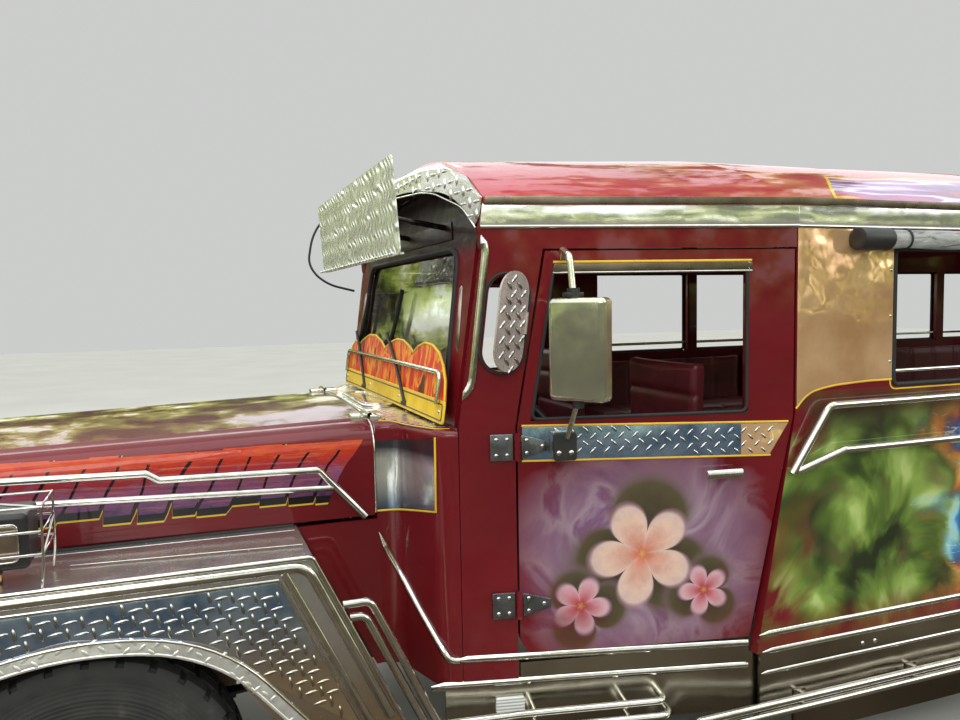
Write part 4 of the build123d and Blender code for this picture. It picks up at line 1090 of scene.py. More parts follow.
# polished edge of the roof, gold panel and window trim of the passenger side
roofEdge = {"low": 1.729, "high": 1.790, "thickness": 0.004, "lift": 0.0003}
cabEdge = [(0.571, roofEdge["low"]), (1.484, roofEdge["low"]), (1.476, roofEdge["high"]), (0.571, roofEdge["high"])]
sideEdge = oblong(-2.995, roofEdge["low"], 0.573, roofEdge["high"])
for name, plane, outline in (("roofEdgeCabLeft", "cab", cabEdge), ("roofEdgeSideLeft", "side", sideEdge)):
    addPlate(name, plane, outline, roofEdge["thickness"], roofEdge["lift"], "polishedSteel", bevel=0.0015)
addTrim("roofBeadCabLeft", "cab", [(0.571, 1.728), (1.482, 1.728)], 0.006, lift=0.002)
addTrim("roofBeadSideLeft", "side", [(-2.993, 1.728), (0.571, 1.728)], 0.006, lift=0.002)
addPlate("gutterFaceCabLeft", "cab", [(0.571, 1.789), (1.472, 1.789), (1.470, 1.809), (0.571, 1.809)], 0.002, 0.0122,
        "gutterSteel", bevel=0.0008)
addPlate("gutterFaceSideLeft", "side", oblong(-2.995, 1.789, 0.573, 1.809), 0.002, 0.0122, "gutterSteel", bevel=0.0008)
goldEdge = [(0.574, 1.196), (0.545, 1.226), (0.516, 1.243), (0.470, 1.253), (0.421, 1.259), (0.30, 1.265),
            (0.205, 1.265)]
goldOutline = [(0.205, 1.722), (0.572, 1.722)] + [(min(x, 0.572), z) for x, z in goldEdge]
addPlate("goldPanelLeft", "side", goldOutline, 0.002, 0.0004, "goldSteel", bevel=0.0006)
addTrim("goldPinstripeLeft", "side", goldEdge, 0.0035, "yellowPaint", lift=0.0015, flat=0.5)
windowLook = {"first": 0.200, "length": 0.560, "post": 0.062, "rubber": (1.247, 1.664), "line": (1.234, 1.677),
              "rail": 1.288, "bolts": (1.32, 1.46, 1.60)}
for count in range(5):
    high = windowLook["first"] - count * (windowLook["length"] + windowLook["post"])
    low = high - windowLook["length"]
    foot, top = windowLook["rubber"]
    ring = roundedRing(oblong(low + 0.004, foot, high - 0.004, top), 0.02)
    addTrim(f"windowRubberLeft{count}", "side", ring, 0.008, "rubberTrim", lift=-0.002, closed=True)
    foot, top = windowLook["line"]
    ring = roundedRing(oblong(low - 0.010, foot, high + 0.010, top), 0.025)
    addTrim(f"windowPinstripeLeft{count}", "side", ring, 0.0025, "yellowPaint", lift=0.0005, flat=0.5, closed=True)
    rail = windowLook["rail"]
    addTrim(f"windowRailLeft{count}", None, [(low, 0.932, rail), (high, 0.932, rail)], 0.008)
    # the first window has no whole post before it, so its bolts sit close
    boltX = high + (0.031 if count else 0.014)
    addStuds(f"windowBoltsLeft{count}", "side", [(boltX, z) for z in windowLook["bolts"]], 0.005, lift=0.002)
print("stage: roof edge and side windows trimmed")

# bright strips along the cab and the passenger side
# each one's plane, points, radius, flatness and lift
stripTable = {
    "cabStripUpperLeft": ("cab", [(1.574, 0.521), (0.716, 0.500)], 0.010, 0.55, 0.0),
    "cabStripLowerLeft": ("cab", [(1.640, 0.449), (0.716, 0.432)], 0.010, 0.6, -0.002),
    "sideStripUpperLeft": ("side", [(0.700, 0.531), (-0.72, 0.531)], 0.009, 0.6, 0.0),
    "sideStripRearLeft": ("side", [(-1.68, 0.531), (-2.99, 0.531)], 0.009, 0.6, 0.0),
    "sideStripLowerLeft": ("side", [(0.688, 0.478), (-0.77, 0.478)], 0.008, 0.6, 0.0),
    "pillarStripLeft": ("cab", [(1.480, 1.706), (1.468, 1.668), (1.512, 1.300), (1.538, 1.256)], 0.0105, 0.8, 0.002),
    "skirtStripLeft": ("side", [(0.690, 0.412), (-0.80, 0.412)], 0.006, 0.6, -0.002),
    "skirtStripRearLeft": ("side", [(-1.60, 0.412), (-2.99, 0.412)], 0.006, 0.6, -0.002),
}
for name, (plane, points, radius, flat, lift) in stripTable.items():
    tips = (0.035 if "cab" in name or "side" in name else 0.02, 0.02 if "pillar" in name else 0.0)
    addTrim(name, plane, points, radius, lift=lift, flat=flat, bend=0.02, tips=tips)
# the diagonal strip runs from the bonnet's end down the sweep of the cowl to the cab
sweepStrip = [(1.727, 0.503, 0.845), (1.702, 0.503, 0.785), (1.667, 0.520, 0.716), (1.637, 0.615, 0.634),
              (1.606, 0.727, 0.556), (1.590, 0.740, 0.524), (1.562, 0.743, 0.521)]
addTrim("sweepStripLeft", None, sweepStrip, 0.0105, tips=(0.045, 0.0))
addTrim("screenStripLeft", "screen", [(0.628, 0.405), (0.655, 0.215)], 0.0095, "brownSteel", lift=0.0, flat=0.6,
        tips=(0.01, 0.01))
print("stage: side strips laid")

# door furniture
addTrim("doorWindowRubberLeft", "cab", roundedRing([(0.724, 1.194), (1.349, 1.194), (1.281, 1.621), (0.724, 1.621)],
        0.02), 0.0055, "rubberTrim", "left_door", lift=-0.002, closed=True)
addPlate("doorTopStripLeft", "cab", [(0.712, 1.603), (1.286, 1.603), (1.282, 1.626), (0.712, 1.626)], 0.003, 0.001,
        "gutterSteel", "left_door", bevel=0.001)
addTread("doorTopTreadLeft", "door_left", "cab", [(0.718, 1.606), (1.280, 1.606), (1.277, 1.623), (0.718, 1.623)],
        {"length": 0.015, "width": 0.004, "rise": 0.0055, "pitch": 0.012, "lean": 45}, body="left_door")
addTrim("doorTopBeadLeft", "cab", [(0.712, 1.601), (1.286, 1.601)], 0.003, body="left_door", lift=0.003, flat=0.6)
addTrim("doorTopPinstripeLeft", "cab", [(0.712, 1.631), (1.284, 1.631)], 0.0035, "yellowPaint", "left_door",
        lift=0.001, flat=0.5)
beltOutline = [(0.655, 1.066), (1.376, 1.082), (1.376, 1.174), (0.600, 1.156)]
addPlate("beltPlateLeft", "cab", beltOutline, 0.0015, 0.002, "bluePlate", "left_door", bevel=0.0004)
addTread("beltTreadLeft", "door_left", "cab", [(0.668, 1.074), (1.290, 1.090), (1.290, 1.166), (0.622, 1.150)],
        {"length": 0.031, "width": 0.0095, "rise": 0.0042, "pitch": 0.0285, "lean": 45, "hand": -1}, body="left_door")
addTrim("beltLineLeft", "cab", [(0.598, 1.160), (1.378, 1.178)], 0.003, "yellowPaint", "left_door", lift=0.002,
        flat=0.5)
addTrim("beltFootLeft", "cab", [(0.652, 1.063), (1.378, 1.079)], 0.003, "yellowPaint", "left_door", lift=0.002,
        flat=0.5)
hingeTable = {"upper": 1.120, "lower": 0.670}
for label, z in hingeTable.items():
    addPlate(f"hinge{label.title()}BodyLeft", "cab", oblong(1.404, z - 0.037, 1.466, z + 0.037), 0.003, 0.0063,
            "hingeSteel", bevel=0.001)
    addPlate(f"hinge{label.title()}DoorLeft", "cab", [(1.303, z - 0.012), (1.380, z - 0.033), (1.380, z + 0.033),
            (1.303, z + 0.012)], 0.003, 0.0063, "hingeSteel", "left_door", bevel=0.001)
    addStuds(f"hinge{label.title()}BoltsLeft", "cab", [(1.420, z - 0.022), (1.420, z + 0.022), (1.450, z - 0.022),
            (1.450, z + 0.022)], 0.006, lift=0.0095)
    addStuds(f"hinge{label.title()}RivetsLeft", "cab", [(1.366, z - 0.018), (1.366, z + 0.018), (1.322, z)], 0.006,
            body="left_door", lift=0.0095)
addTrim("doorLeverLeft", "cab", [(0.752, 1.020), (0.765, 1.020), (0.856, 1.019)], 0.013, body="left_door", lift=0.032,
        flat=0.7, bend=0.01)
addPlate("mirrorFootLeft", "cab", roundedRing(oblong(1.236, 1.084, 1.300, 1.163), 0.01), 0.014, 0.040,
        "blackPlastic", "left_door", bevel=0.003)
addTrim("mirrorCollarUpperLeft", None, [(1.2964, 0.945, 1.520), (1.2968, 0.944, 1.556)], 0.017, "blackPlastic",
        "left_door")
addTrim("mirrorCollarLowerLeft", None, [(1.2885, 0.951, 1.243), (1.2885, 0.951, 1.272)], 0.016, "blackPlastic",
        "left_door")
addStuds("mirrorFootBoltsLeft", "cab", [(1.252, 1.106), (1.286, 1.106)], 0.008, body="left_door", lift=0.053)
addBlock("mirrorCapLeft", (1.272, 0.928, 1.533), (1.322, 0.958, 1.545), 0.003, "blackPlastic", "left_door")
addPlate("beltEndLeft", "cab", [(0.655, 1.0665), (0.742, 1.0685), (0.742, 1.1585), (0.600, 1.156)], 0.0006, 0.0036,
        "goldSteel", "left_door")
print("stage: door furniture fitted")

# oval vents and their tread-plate flaps
ventLook = {"middle": (1.420, 1.464), "rubber": (0.1215, 0.2795), "tread": (0.098, 0.256),
            "lean": math.radians(7), "open": 38}
addTrim("ventRubberLeft", "cab", ringAround(ventLook["middle"], *ventLook["rubber"], ventLook["lean"]), 0.0042,
        "rubberTrim", lift=0.003, closed=True)
flapTurn = math.radians(ventLook["open"] - 12)
planes["flap"] = ((1.363, 0.792, 0), (math.cos(flapTurn), math.sin(flapTurn), 0), (0, 0, 1),
                  (-math.sin(flapTurn), math.cos(flapTurn), 0))
addTread("flapTreadLeft", "vent_flap_left", "flap", ringAround((0.058, 1.464), *ventLook["tread"], ventLook["lean"]),
        {"length": 0.034, "width": 0.010, "rise": 0.0045, "pitch": 0.029, "lean": 45}, body="left_vent_flap")
print("stage: vents trimmed")

# windscreen: rubber, header strip, wipers and the two blank boards
glassRing = roundedRing([(-0.605, 0.040), (0.605, 0.040), (0.567, 0.515), (-0.567, 0.515)], 0.07, 8)
addTrim("screenRubber", "screen", glassRing, 0.010, "rubberTrim", closed=True, both=False)
# the header strip takes the screen frame's finish, which paints it nearly black there: painted shade under the brow
addPlate("screenHeaderStrip", "screen", [(-0.50, 0.548), (0.50, 0.548), (0.47, 0.605), (-0.47, 0.605)], 0.003, 0.0005,
        "screenFramePaint", bevel=0.001, both=False)
# each wiper's pivot and the middle of its blade
wiperTable = ((0.305, 0.026, -0.030, 0.243), (-0.300, 0.026, -0.560, 0.235))
for count, (pivotY, pivotZ, tipY, tipZ) in enumerate(wiperTable):
    addTrim(f"wiperArm{count}", "screen", [(pivotY, pivotZ), ((pivotY + tipY) / 2, (pivotZ + tipZ) / 2 + 0.012),
            (tipY, tipZ)], 0.006, "blackPlastic", lift=0.040, bend=0.05, both=False)
    addTrim(f"wiperBlade{count}", "screen", [(tipY - 0.09, tipZ - 0.10), (tipY, tipZ), (tipY + 0.06, tipZ + 0.16)],
            0.008, "rubberTrim", lift=0.016, bend=0.08, both=False)
    turnedPiece(f"wiperPivot{count}", [(-0.004, 0.018), (0.022, 0.016), (0.026, 0.010), (0.044, 0.009),
            (0.048, 0.004)], planeMatrix("screen", 0.0) @ Vector((pivotY, pivotZ, 0)), (0, math.radians(82), 0),
            "hubGrease", sides=20, both=False)
boardTop = [(0.690, 0.070), (0.676, 0.128), (0.640, 0.172), (0.590, 0.205), (0.520, 0.224), (0.440, 0.228),
            (0.370, 0.214), (0.320, 0.192), (0.262, 0.210), (0.180, 0.226), (0.090, 0.226), (0.010, 0.212),
            (-0.060, 0.188), (-0.130, 0.212), (-0.230, 0.230), (-0.340, 0.228), (-0.430, 0.208), (-0.500, 0.186),
            (-0.580, 0.198), (-0.640, 0.172), (-0.676, 0.128), (-0.690, 0.070)]
addPlate("routeBoardUpper", "screen", boardTop, 0.006, 0.026, "boardPaint", bevel=0.0015, both=False)
addTrim("routeBoardRim", "screen", boardTop, 0.0042, "yellowBoard", lift=0.032, closed=True, both=False)
addPlate("routeBoardLower", "screen", roundedRing(oblong(-0.700, 0.006, 0.700, 0.072), 0.012), 0.006, 0.030,
        "yellowBoard", bevel=0.0015, both=False)
addTrim("routeBoardLine", "screen", roundedRing(oblong(-0.688, 0.016, 0.688, 0.062), 0.010), 0.002, "blackPlastic",
        lift=0.0362, closed=True, both=False)
addTrim("routeBoardBar", "screen", [(-0.655, 0.060), (-0.655, 0.150), (0.655, 0.150), (0.655, 0.060)], 0.0075,
        lift=0.044, bend=0.02, both=False)
addStuds("routeBoardScrews", "screen", [(y, 0.039) for y in (-0.66, -0.22, 0.22, 0.66)], 0.007, lift=0.036, both=False)
print("stage: windscreen dressed")

# cowl: polished cover with a lid, the plate on the sweep and the bead behind the bonnet
cowlCover = [(1.562, -0.66), (1.600, -0.66), (1.650, -0.54), (1.664, -0.46), (1.700, -0.44), (1.700, 0.44),
             (1.664, 0.46), (1.650, 0.54), (1.600, 0.66), (1.562, 0.66)]
addPlate("cowlCover", "ground", cowlCover, 0.0015, 1.1722, "browSteel", bevel=0.0004, both=False)
lidRing = ringAround((1.635, -0.05), 0.11, 0.46, 0.0)
addPlate("cowlLid", "ground", lidRing, 0.012, 1.1736, "polishedSteel", bevel=0.004, both=False)
addTrim("cowlLidBead", "ground", ringAround((1.635, -0.05), 0.075, 0.42, 0.0), 0.003, lift=1.1858, closed=True,
        both=False)
addTrim("cowlPinstripeLeft", "ground", [(1.712, 0.0), (1.712, 0.452), (1.672, 0.472), (1.658, 0.548), (1.604, 0.684),
        (1.562, 0.70)], 0.003, "yellowPaint", lift=1.172, flat=0.5, bend=0.02)
addStuds("cowlScrews", "ground", [(1.575, y) for y in (-0.6, -0.3, 0.3, 0.6)] + [(1.69, y) for y in (-0.4, 0.4)],
        0.006, lift=1.1735, both=False)
sweepLook = {"low": 0.912, "high": 1.118, "rise": 0.034, "lift": 0.0014}
sweepPath = bentPath([(1.7295, 0.5 + sweepLook["lift"], 0), (1.67330, 0.5 + sweepLook["lift"], 0),
                      (1.61040, 0.7090, 0)], 0.0505)


def sweepPlate(name, low, high, rise, finish):
    # a plate that follows the sweep of the cowl from the bonnet outwards
    piece = newCurve(name, [sweepPath], "3D", False)
    piece.data.extrude = (high - low) / 2
    piece.location = (0, 0, (high + low) / 2)
    piece = toMesh(piece)
    settle(piece)
    for vertex in piece.data.vertices:
        vertex.co.z += rise * (vertex.co.y - 0.5) / 0.21
    wall = piece.modifiers.new("wall", "SOLIDIFY")
    wall.thickness = 0.0016
    wall.offset = 0.0
    applyModifiers(piece)
    return bothSides(dress(piece, name, finish), "body")


sweepPlate("sweepPlateLeft", sweepLook["low"], sweepLook["high"], sweepLook["rise"], "sweepSteel")
sweepLine = [Vector((p.x, p.y, sweepLook["low"] - 0.004 + sweepLook["rise"] * (p.y - 0.5) / 0.21)) for p in sweepPath]
sweepLine += [Vector((1.6095, 0.7115, 1.152))]
addTrim("sweepPinstripeLeft", None, sweepLine, 0.0032, "yellowPaint", bend=0)
for count, y in enumerate((-0.4, 0.4)):
    addBlock(f"hingeLeaf{count}", (1.685, y - 0.053, 1.1715), (1.7325, y + 0.053, 1.1905), 0.002, both=False)
    addBlock(f"hingeStrap{count}", (1.7345, y - 0.027, 1.168), (1.784, y + 0.027, 1.1905), 0.002, body="hood",
            both=False)
    addTrim(f"hingeBarrel{count}", None, [(1.733, y - 0.051, 1.190), (1.733, y + 0.051, 1.190)], 0.0085, both=False)
bonnetEnd = [(1.733, 0.5035, 0.905), (1.733, 0.5035, 1.105), (1.733, 0.481, 1.156), (1.733, 0.430, 1.1765),
             (1.733, 0.30, 1.1865), (1.733, 0.0, 1.1925)]
addTrim("bonnetEndBeadLeft", None, bonnetEnd, 0.0035)
print("stage: cowl dressed")

# front fenders: edge beads, the double tube, the diagonal, the tread plate and the band round the arch
# each one's points, radius, flatness, lift and bend
fenderTrim = {
    "fenderEdgeLeft": ([(2.886, 0.9125), (1.979, 0.9125), (1.757, 0.452)], 0.006, 1.0, 0.000, 0.01),
    "fenderTubeLeft": ([(2.930, 0.842), (2.850, 0.892), (2.015, 0.892), (1.985, 0.876), (1.794, 0.478)], 0.013, 0.8,
                       0.0, 0.05),
    "fenderBeadLeft": ([(2.880, 0.866), (2.060, 0.866)], 0.005, 0.8, 0.0, 0.0),
    "fenderDiagonalLeft": ([(2.046, 0.880), (1.842, 0.462)], 0.010, 0.8, 0.0, 0.0),
    "fenderDiagonalBeadLeft": ([(2.062, 0.868), (1.868, 0.470)], 0.004, 0.8, 0.0, 0.0),
}
for name, (points, radius, flat, lift, bend) in fenderTrim.items():
    addTrim(name, "fender", points, radius, lift=lift, flat=flat, bend=bend)
archInner = bentPath([(1.991, 0.447), (2.215, 0.713), (2.520, 0.765), (2.845, 0.690), (2.925, 0.447)], 0.155)
archOuter = bentPath([(1.952, 0.447), (2.198, 0.742), (2.520, 0.797), (2.868, 0.712), (2.955, 0.447)], 0.165)
archTop = [(p.x, p.y + 0.003) for p in reversed(archOuter)]
plateOutline = [(1.868, 0.462), (2.062, 0.860), (2.872, 0.860), (2.950, 0.800), (2.985, 0.700)] + [
    p for p in archTop if p[1] > 0.456]
addPlate("fenderPlateLeft", "fender", plateOutline, 0.0012, 0.0003, "fenderPlate", bevel=0.0003)
treadZone = [(1.893, 0.480), (2.074, 0.848), (2.866, 0.848), (2.936, 0.794), (2.966, 0.706)] + [
    (x - 0.004, z + 0.012) for x, z in archTop if z > 0.47]
addTread("fenderTreadLeft", "front_fenders", "fender", treadZone, {"length": 0.036, "width": 0.0105, "rise": 0.0055,
        "pitch": 0.0262, "lean": 8})
bandOutline = [(p.x, p.y) for p in archOuter] + [(p.x, p.y) for p in reversed(archInner)]
addPlate("archBandLeft", "fender", bandOutline, 0.0012, 0.0042, "archSteel", bevel=0.0003)
addTread("archTreadLeft", "front_fenders", "fender", bandOutline, {"length": 0.028, "width": 0.012, "rise": 0.0030,
        "pitch": 0.0235, "lean": 40}, "archSteel")
addTrim("archEdgeLeft", "fender", [(p.x, p.y) for p in archOuter], 0.004, lift=0.004, bend=0)
addTrim("archLipLeft", "fender", [(p.x, p.y) for p in archInner], 0.005, "archSteel", lift=0.002, bend=0)
addTrim("fenderSeamInnerLeft", None, [(2.70, 0.564, 0.9025), (1.985, 0.602, 0.9065)], 0.0012, "fenderSteel")
addTrim("fenderSeamOuterLeft", None, [(2.53, 0.686, 0.9055), (1.985, 0.757, 0.9105)], 0.0012, "fenderSteel")
addTrim("fenderBonnetRubberLeft", None, [(2.94, 0.486, 0.890), (1.975, 0.498, 0.892)], 0.006, "rubberTrim")
print("stage: fenders trimmed")

# box lamps on the fender tops, each in a wire cage
boxLampLook = {"wire": 0.0032, "low": (2.560, 0.676), "high": (2.800, 0.846), "foot": 0.908,
               "levels": (0.985, 1.036, 1.090)}
(cageX0, cageY0), (cageX1, cageY1) = boxLampLook["low"], boxLampLook["high"]
cageCorners = oblong(cageX0, cageY0, cageX1, cageY1)
for count, (x, y) in enumerate(cageCorners):
    addTrim(f"cagePost{count}Left", None, [(x + (0.006 if x == cageX0 else -0.006), y, boxLampLook["foot"]),
            (x, y, 0.955), (x, y, boxLampLook["levels"][-1])], boxLampLook["wire"], bend=0.02)
for count, z in enumerate(boxLampLook["levels"]):
    addTrim(f"cageLoop{count}Left", None, [(x, y, z) for x, y in cageCorners], boxLampLook["wire"], bend=0,
            closed=True)
addTrim("cageBraceOuterLeft", None, [(cageX0, cageY1, 0.985), (cageX0, cageY0, 1.036), (cageX0, cageY1, 1.090)],
        boxLampLook["wire"], bend=0)
addTrim("cageBraceTopLeft", None, [(cageX0, cageY1, 1.090), (cageX1, cageY0, 1.090)], boxLampLook["wire"], bend=0)
planes["lampSide"] = ((0, 0.830, 0), (1, 0, 0), (0, 0, 1), (0, 1, 0))
planes["lampNose"] = ((2.770, 0, 0), (0, 1, 0), (0, 0, 1), (1, 0, 0))
addPlate("boxLampWindowLeft", "lampSide", roundedRing(oblong(2.612, 0.972, 2.748, 1.052), 0.014), 0.004, 0.0002,
        "brownSteel", bevel=0.0012)
addTrim("boxLampRimLeft", "lampSide", roundedRing(oblong(2.610, 0.970, 2.750, 1.054), 0.015), 0.0022, lift=0.003,
        closed=True)
addPlate("boxLampLensLeft", "lampNose", roundedRing(oblong(0.700, 0.962, 0.820, 1.063), 0.014), 0.006, 0.0002,
        "amberLens", bevel=0.002)
turnedPiece("boxLampNutLeft", [(0, 0.024), (0.004, 0.026), (0.016, 0.026), (0.020, 0.022)], (2.68, 0.76, 0.9105),
        (0, 0, 0), "goldSteel", sides=6)
# head lamps, the bumper and the grille
turnedPiece("headLampBezelLeft", [(0, 0.098), (0.012, 0.104), (0.026, 0.104), (0.034, 0.098), (0.036, 0.092),
        (0.030, 0.089), (0.020, 0.088)], (3.046, 0.680, 0.715), (0, math.radians(90), 0))
turnedPiece("headLampLensLeft", [(0, 0.086), (0.010, 0.085), (0.020, 0.074), (0.026, 0.052), (0.029, 0.024),
        (0.0295, 0.004)], (3.066, 0.680, 0.715), (0, math.radians(90), 0), "clearLens")
turnedPiece("bumperLampLeft", [(0, 0.040), (0.010, 0.042), (0.016, 0.036), (0.020, 0.020), (0.021, 0.004)],
        (3.179, 0.760, 0.497), (0, math.radians(90), 0), "amberLens", sides=28)
addPlate("bumperFace", "bumper", roundedRing(oblong(-0.885, 0.446, 0.885, 0.544), 0.02), 0.003, -0.0028,
        "polishedSteel", bevel=0.001, both=False)
addPlate("frontPlate", "bumper", roundedRing(oblong(-0.165, 0.446, 0.165, 0.544), 0.010), 0.002, -0.0012,
        "whitePlate", bevel=0.0008, both=False)
addStuds("frontPlateBolts", "bumper", [(-0.12, 0.495), (0.12, 0.495)], 0.007, lift=-0.003, both=False)
addTrim("grilleRim", "front", roundedRing(oblong(-0.452, 0.592, 0.452, 1.122), 0.04), 0.010, closed=True, both=False)
for count in range(-4, 5):
    addTrim(f"grilleBead{count + 4}", "front", ringAround((count * 0.088, 0.860), 0.052, 0.442, 0.0), 0.0035,
            lift=0.001, closed=True, both=False)
addTrim("grilleBar", "front", [(-0.46, 0.860), (0.46, 0.860)], 0.008, lift=0.006, both=False)
print("stage: lamps, bumper and grille dressed")

# brow: tread on its cheeks, front and top, and a lining under its arch, painted nearly black as shade
browLook = {"length": 0.036, "width": 0.011, "rise": 0.0042, "pitch": 0.036, "lean": 0}
addTread("browTreadLeft", "roof_brow", "cheek", [(0.012, -0.07), (0.30, -0.07), (0.372, -0.075), (0.372, 0.20),
        (0.012, 0.20)], browLook, "browSteel")
addTread("browTreadFront", "roof_brow", "brow", oblong(-0.40, 1.80, 0.40, 1.96), browLook, "browSteel", both=False)
addTread("browTreadTop", "roof_brow", "crown", oblong(1.478, -0.70, 1.540, 0.70), browLook, "browSteel", both=False)
soffit = [(1.476, 0.737, 1.7235), (1.476, 0.6600, 1.7932), (1.476, 0.480, 1.8562), (1.476, 0.0, 1.8953)]


def browLining(name, line, look):
    # the arch line drawn forwards and cut to the cheek
    piece = toMesh(newCurve(name, [bentPath(line, 0.05)], "3D", False))
    bpy.ops.object.mode_set(mode="EDIT")
    bpy.ops.mesh.select_all(action="SELECT")
    bpy.ops.mesh.extrude_region_move(TRANSFORM_OT_translate={"value": (look["deep"], 0, 0)})
    bpy.ops.mesh.select_all(action="SELECT")
    bpy.ops.mesh.bisect(plane_co=(1.541, 0.412, 1.8), plane_no=(math.cos(cheekTurn), math.sin(cheekTurn), 0),
                        clear_outer=True)
    bpy.ops.object.mode_set(mode="OBJECT")
    wall = piece.modifiers.new("wall", "SOLIDIFY")
    wall.thickness = 0.0012
    wall.offset = 0.0
    applyModifiers(piece)
    return bothSides(dress(piece, name, "screenFramePaint"), "body")


# the lining takes the screen frame's finish, which paints it nearly black: painted shade under the brow
browLining("browLiningLeft", soffit, {"deep": 0.066})
browEdge = [(1.5455, 0.0, 1.893), (1.5455, 0.412, 1.864), (1.530, 0.495, 1.851), (1.500, 0.662, 1.792),
            (1.488, 0.737, 1.727)]
addTrim("browEdgeLeft", None, browEdge, 0.0028, "browSteel")
addTrim("visorHem", None, [(1.690, -0.622, 1.664), (1.690, 0.622, 1.664)], 0.004, "rippleSteel", both=False)
farStay = [(1.55, -0.640, 1.90), (1.63, -0.700, 1.940), (1.707, -0.720, 1.829), (1.728, -0.720, 1.712),
           (1.700, -0.710, 1.656), (1.640, -0.700, 1.612), (1.535, -0.690, 1.585)]
addTrim("farStay", None, farStay, 0.005, "blackPlastic", bend=0.05, both=False)
print("stage: brow and visor dressed")

# brackets of the step tubes and the small lamp in the sill
bracketLook = {"radius": 0.007, "side": (0.55, 0.10, -0.40), "cab": (1.36, 1.10)}
for count, x in enumerate(bracketLook["side"]):
    for level, z in enumerate((0.335, 0.305)):
        addTrim(f"stepStub{count}{level}Left", None, [(x, 0.947, z), (x, 0.985, z)], bracketLook["radius"])
    addBlock(f"stepPad{count}Left", (x - 0.022, 0.947, 0.296), (x + 0.022, 0.953, 0.344), 0.0015, "skirtSteel")
for count, x in enumerate(bracketLook["cab"]):
    wallY = 0.950 - (x - 0.576) * taperSlope - 0.003
    for level, (z, out) in enumerate(((0.378, 0.062), (0.348, 0.088))):
        addTrim(f"cabStub{count}{level}Left", None, [(x, wallY, z), (x + 0.2079 * out, wallY + 0.978 * out, z)],
                bracketLook["radius"])
addPlate("sillLampLeft", "cab", roundedRing(oblong(1.380, 0.359, 1.462, 0.403), 0.008), 0.012, -0.002, "clearLens",
        bevel=0.003)
addPlate("sillTopLeft", "cab", [(0.716, 0.434), (1.640, 0.436), (1.640, 0.442), (0.716, 0.440)], 0.003, -0.003,
        "skirtSteel")
addPlate("sillCornerLeft", "cab", oblong(0.676, 0.302, 0.730, 0.474), 0.003, -0.006, "skirtSteel")
for count, x in enumerate((0.30, -0.30)):
    addStuds(f"skirtBolts{count}Left", "side", [(x, 0.44), (x - 0.05, 0.44)], 0.007, lift=-0.001)
print("stage: step tubes bracketed")

# tyres: tread cut into the crown, ribs round the walls
tyreLook = {"steps": 120, "cut": 0.008, "blockEvery": 4}
tyreWheels = {"tyre_front_left": ((2.5, 0.760, 0.365), "front_left_wheel", "frontTyre"),
              "tyre_front_right": ((2.5, -0.760, 0.365), "front_right_wheel", "frontTyre"),
              "tyre_rear_left": ((-1.2, 0.790, 0.365), "rear_left_wheel", "rearTyre"),
              "tyre_rear_right": ((-1.2, -0.790, 0.365), "rear_right_wheel", "rearTyre")}


def makeTyre(look):
    profile = [(0.070, 0.212), (0.084, 0.216), (0.092, 0.228), (0.0945, 0.250), (0.0935, 0.268), (0.0950, 0.272),
               (0.0950, 0.278), (0.0925, 0.284), (0.0900, 0.312), (0.0925, 0.318), (0.0930, 0.330), (0.0900, 0.346),
               (0.0820, 0.3580), (0.0500, 0.3640), (0.0430, 0.3645), (0.0120, 0.3648), (0.0050, 0.3648)]
    profile += [(-y, r) for y, r in reversed(profile)]
    piece = toMesh(newCurve("tyreProfile", [[(0, y, r) for y, r in profile]], "3D", True))
    bpy.ops.object.mode_set(mode="EDIT")
    bpy.ops.mesh.select_all(action="SELECT")
    bpy.ops.mesh.spin(steps=look["steps"], angle=2 * math.pi, center=(0, 0, 0), axis=(0, 1, 0), dupli=False)
    bpy.ops.mesh.select_all(action="SELECT")
    bpy.ops.mesh.remove_doubles(threshold=0.0001)
    bpy.ops.mesh.normals_make_consistent(inside=False)
    bpy.ops.mesh.select_all(action="DESELECT")
    bpy.ops.object.mode_set(mode="OBJECT")
    # grooves: two rings round the crown, and cuts across each row of blocks in turn
    for face in piece.data.polygons:
        x, y, z = face.center
        distance = math.hypot(x, z)
        step = int(round(math.atan2(z, x) / (2 * math.pi) * look["steps"] - 0.5)) % look["steps"]
        ring = 0.043 < abs(y) < 0.050 or abs(y) < 0.005
        row = 2 if abs(y) > 0.050 else 0
        across = distance > 0.350 and (step + row) % look["blockEvery"] == 0
        face.select = distance > 0.345 and (ring or across)
    bpy.ops.object.mode_set(mode="EDIT")
    bpy.ops.mesh.inset(thickness=0.0012, depth=-look["cut"], use_boundary=True)
    bpy.ops.object.mode_set(mode="OBJECT")
    return piece


tyreMaster = makeTyre(tyreLook)
for node, (middle, body, finish) in tyreWheels.items():
    tyre = tyreMaster.copy()
    tyre.data = tyreMaster.data.copy()
    bpy.context.collection.objects.link(tyre)
    tyre.location = middle
    tyre = dress(tyre, "treaded" + node.title().replace("_", ""), finish, body, angle=35)
    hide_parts(node)
bpy.data.objects.remove(tyreMaster)
print("stage: tyres treaded")


def surfaceY(node, x, z, side):
    # how far out the node's face lies at this place
    start = Vector((x, side * 1.3, z))
    hit, place, _, _ = frame["nodes"][node].ray_cast(start, Vector((0, -side, 0)), distance=1.2)
    return place.y if hit else None


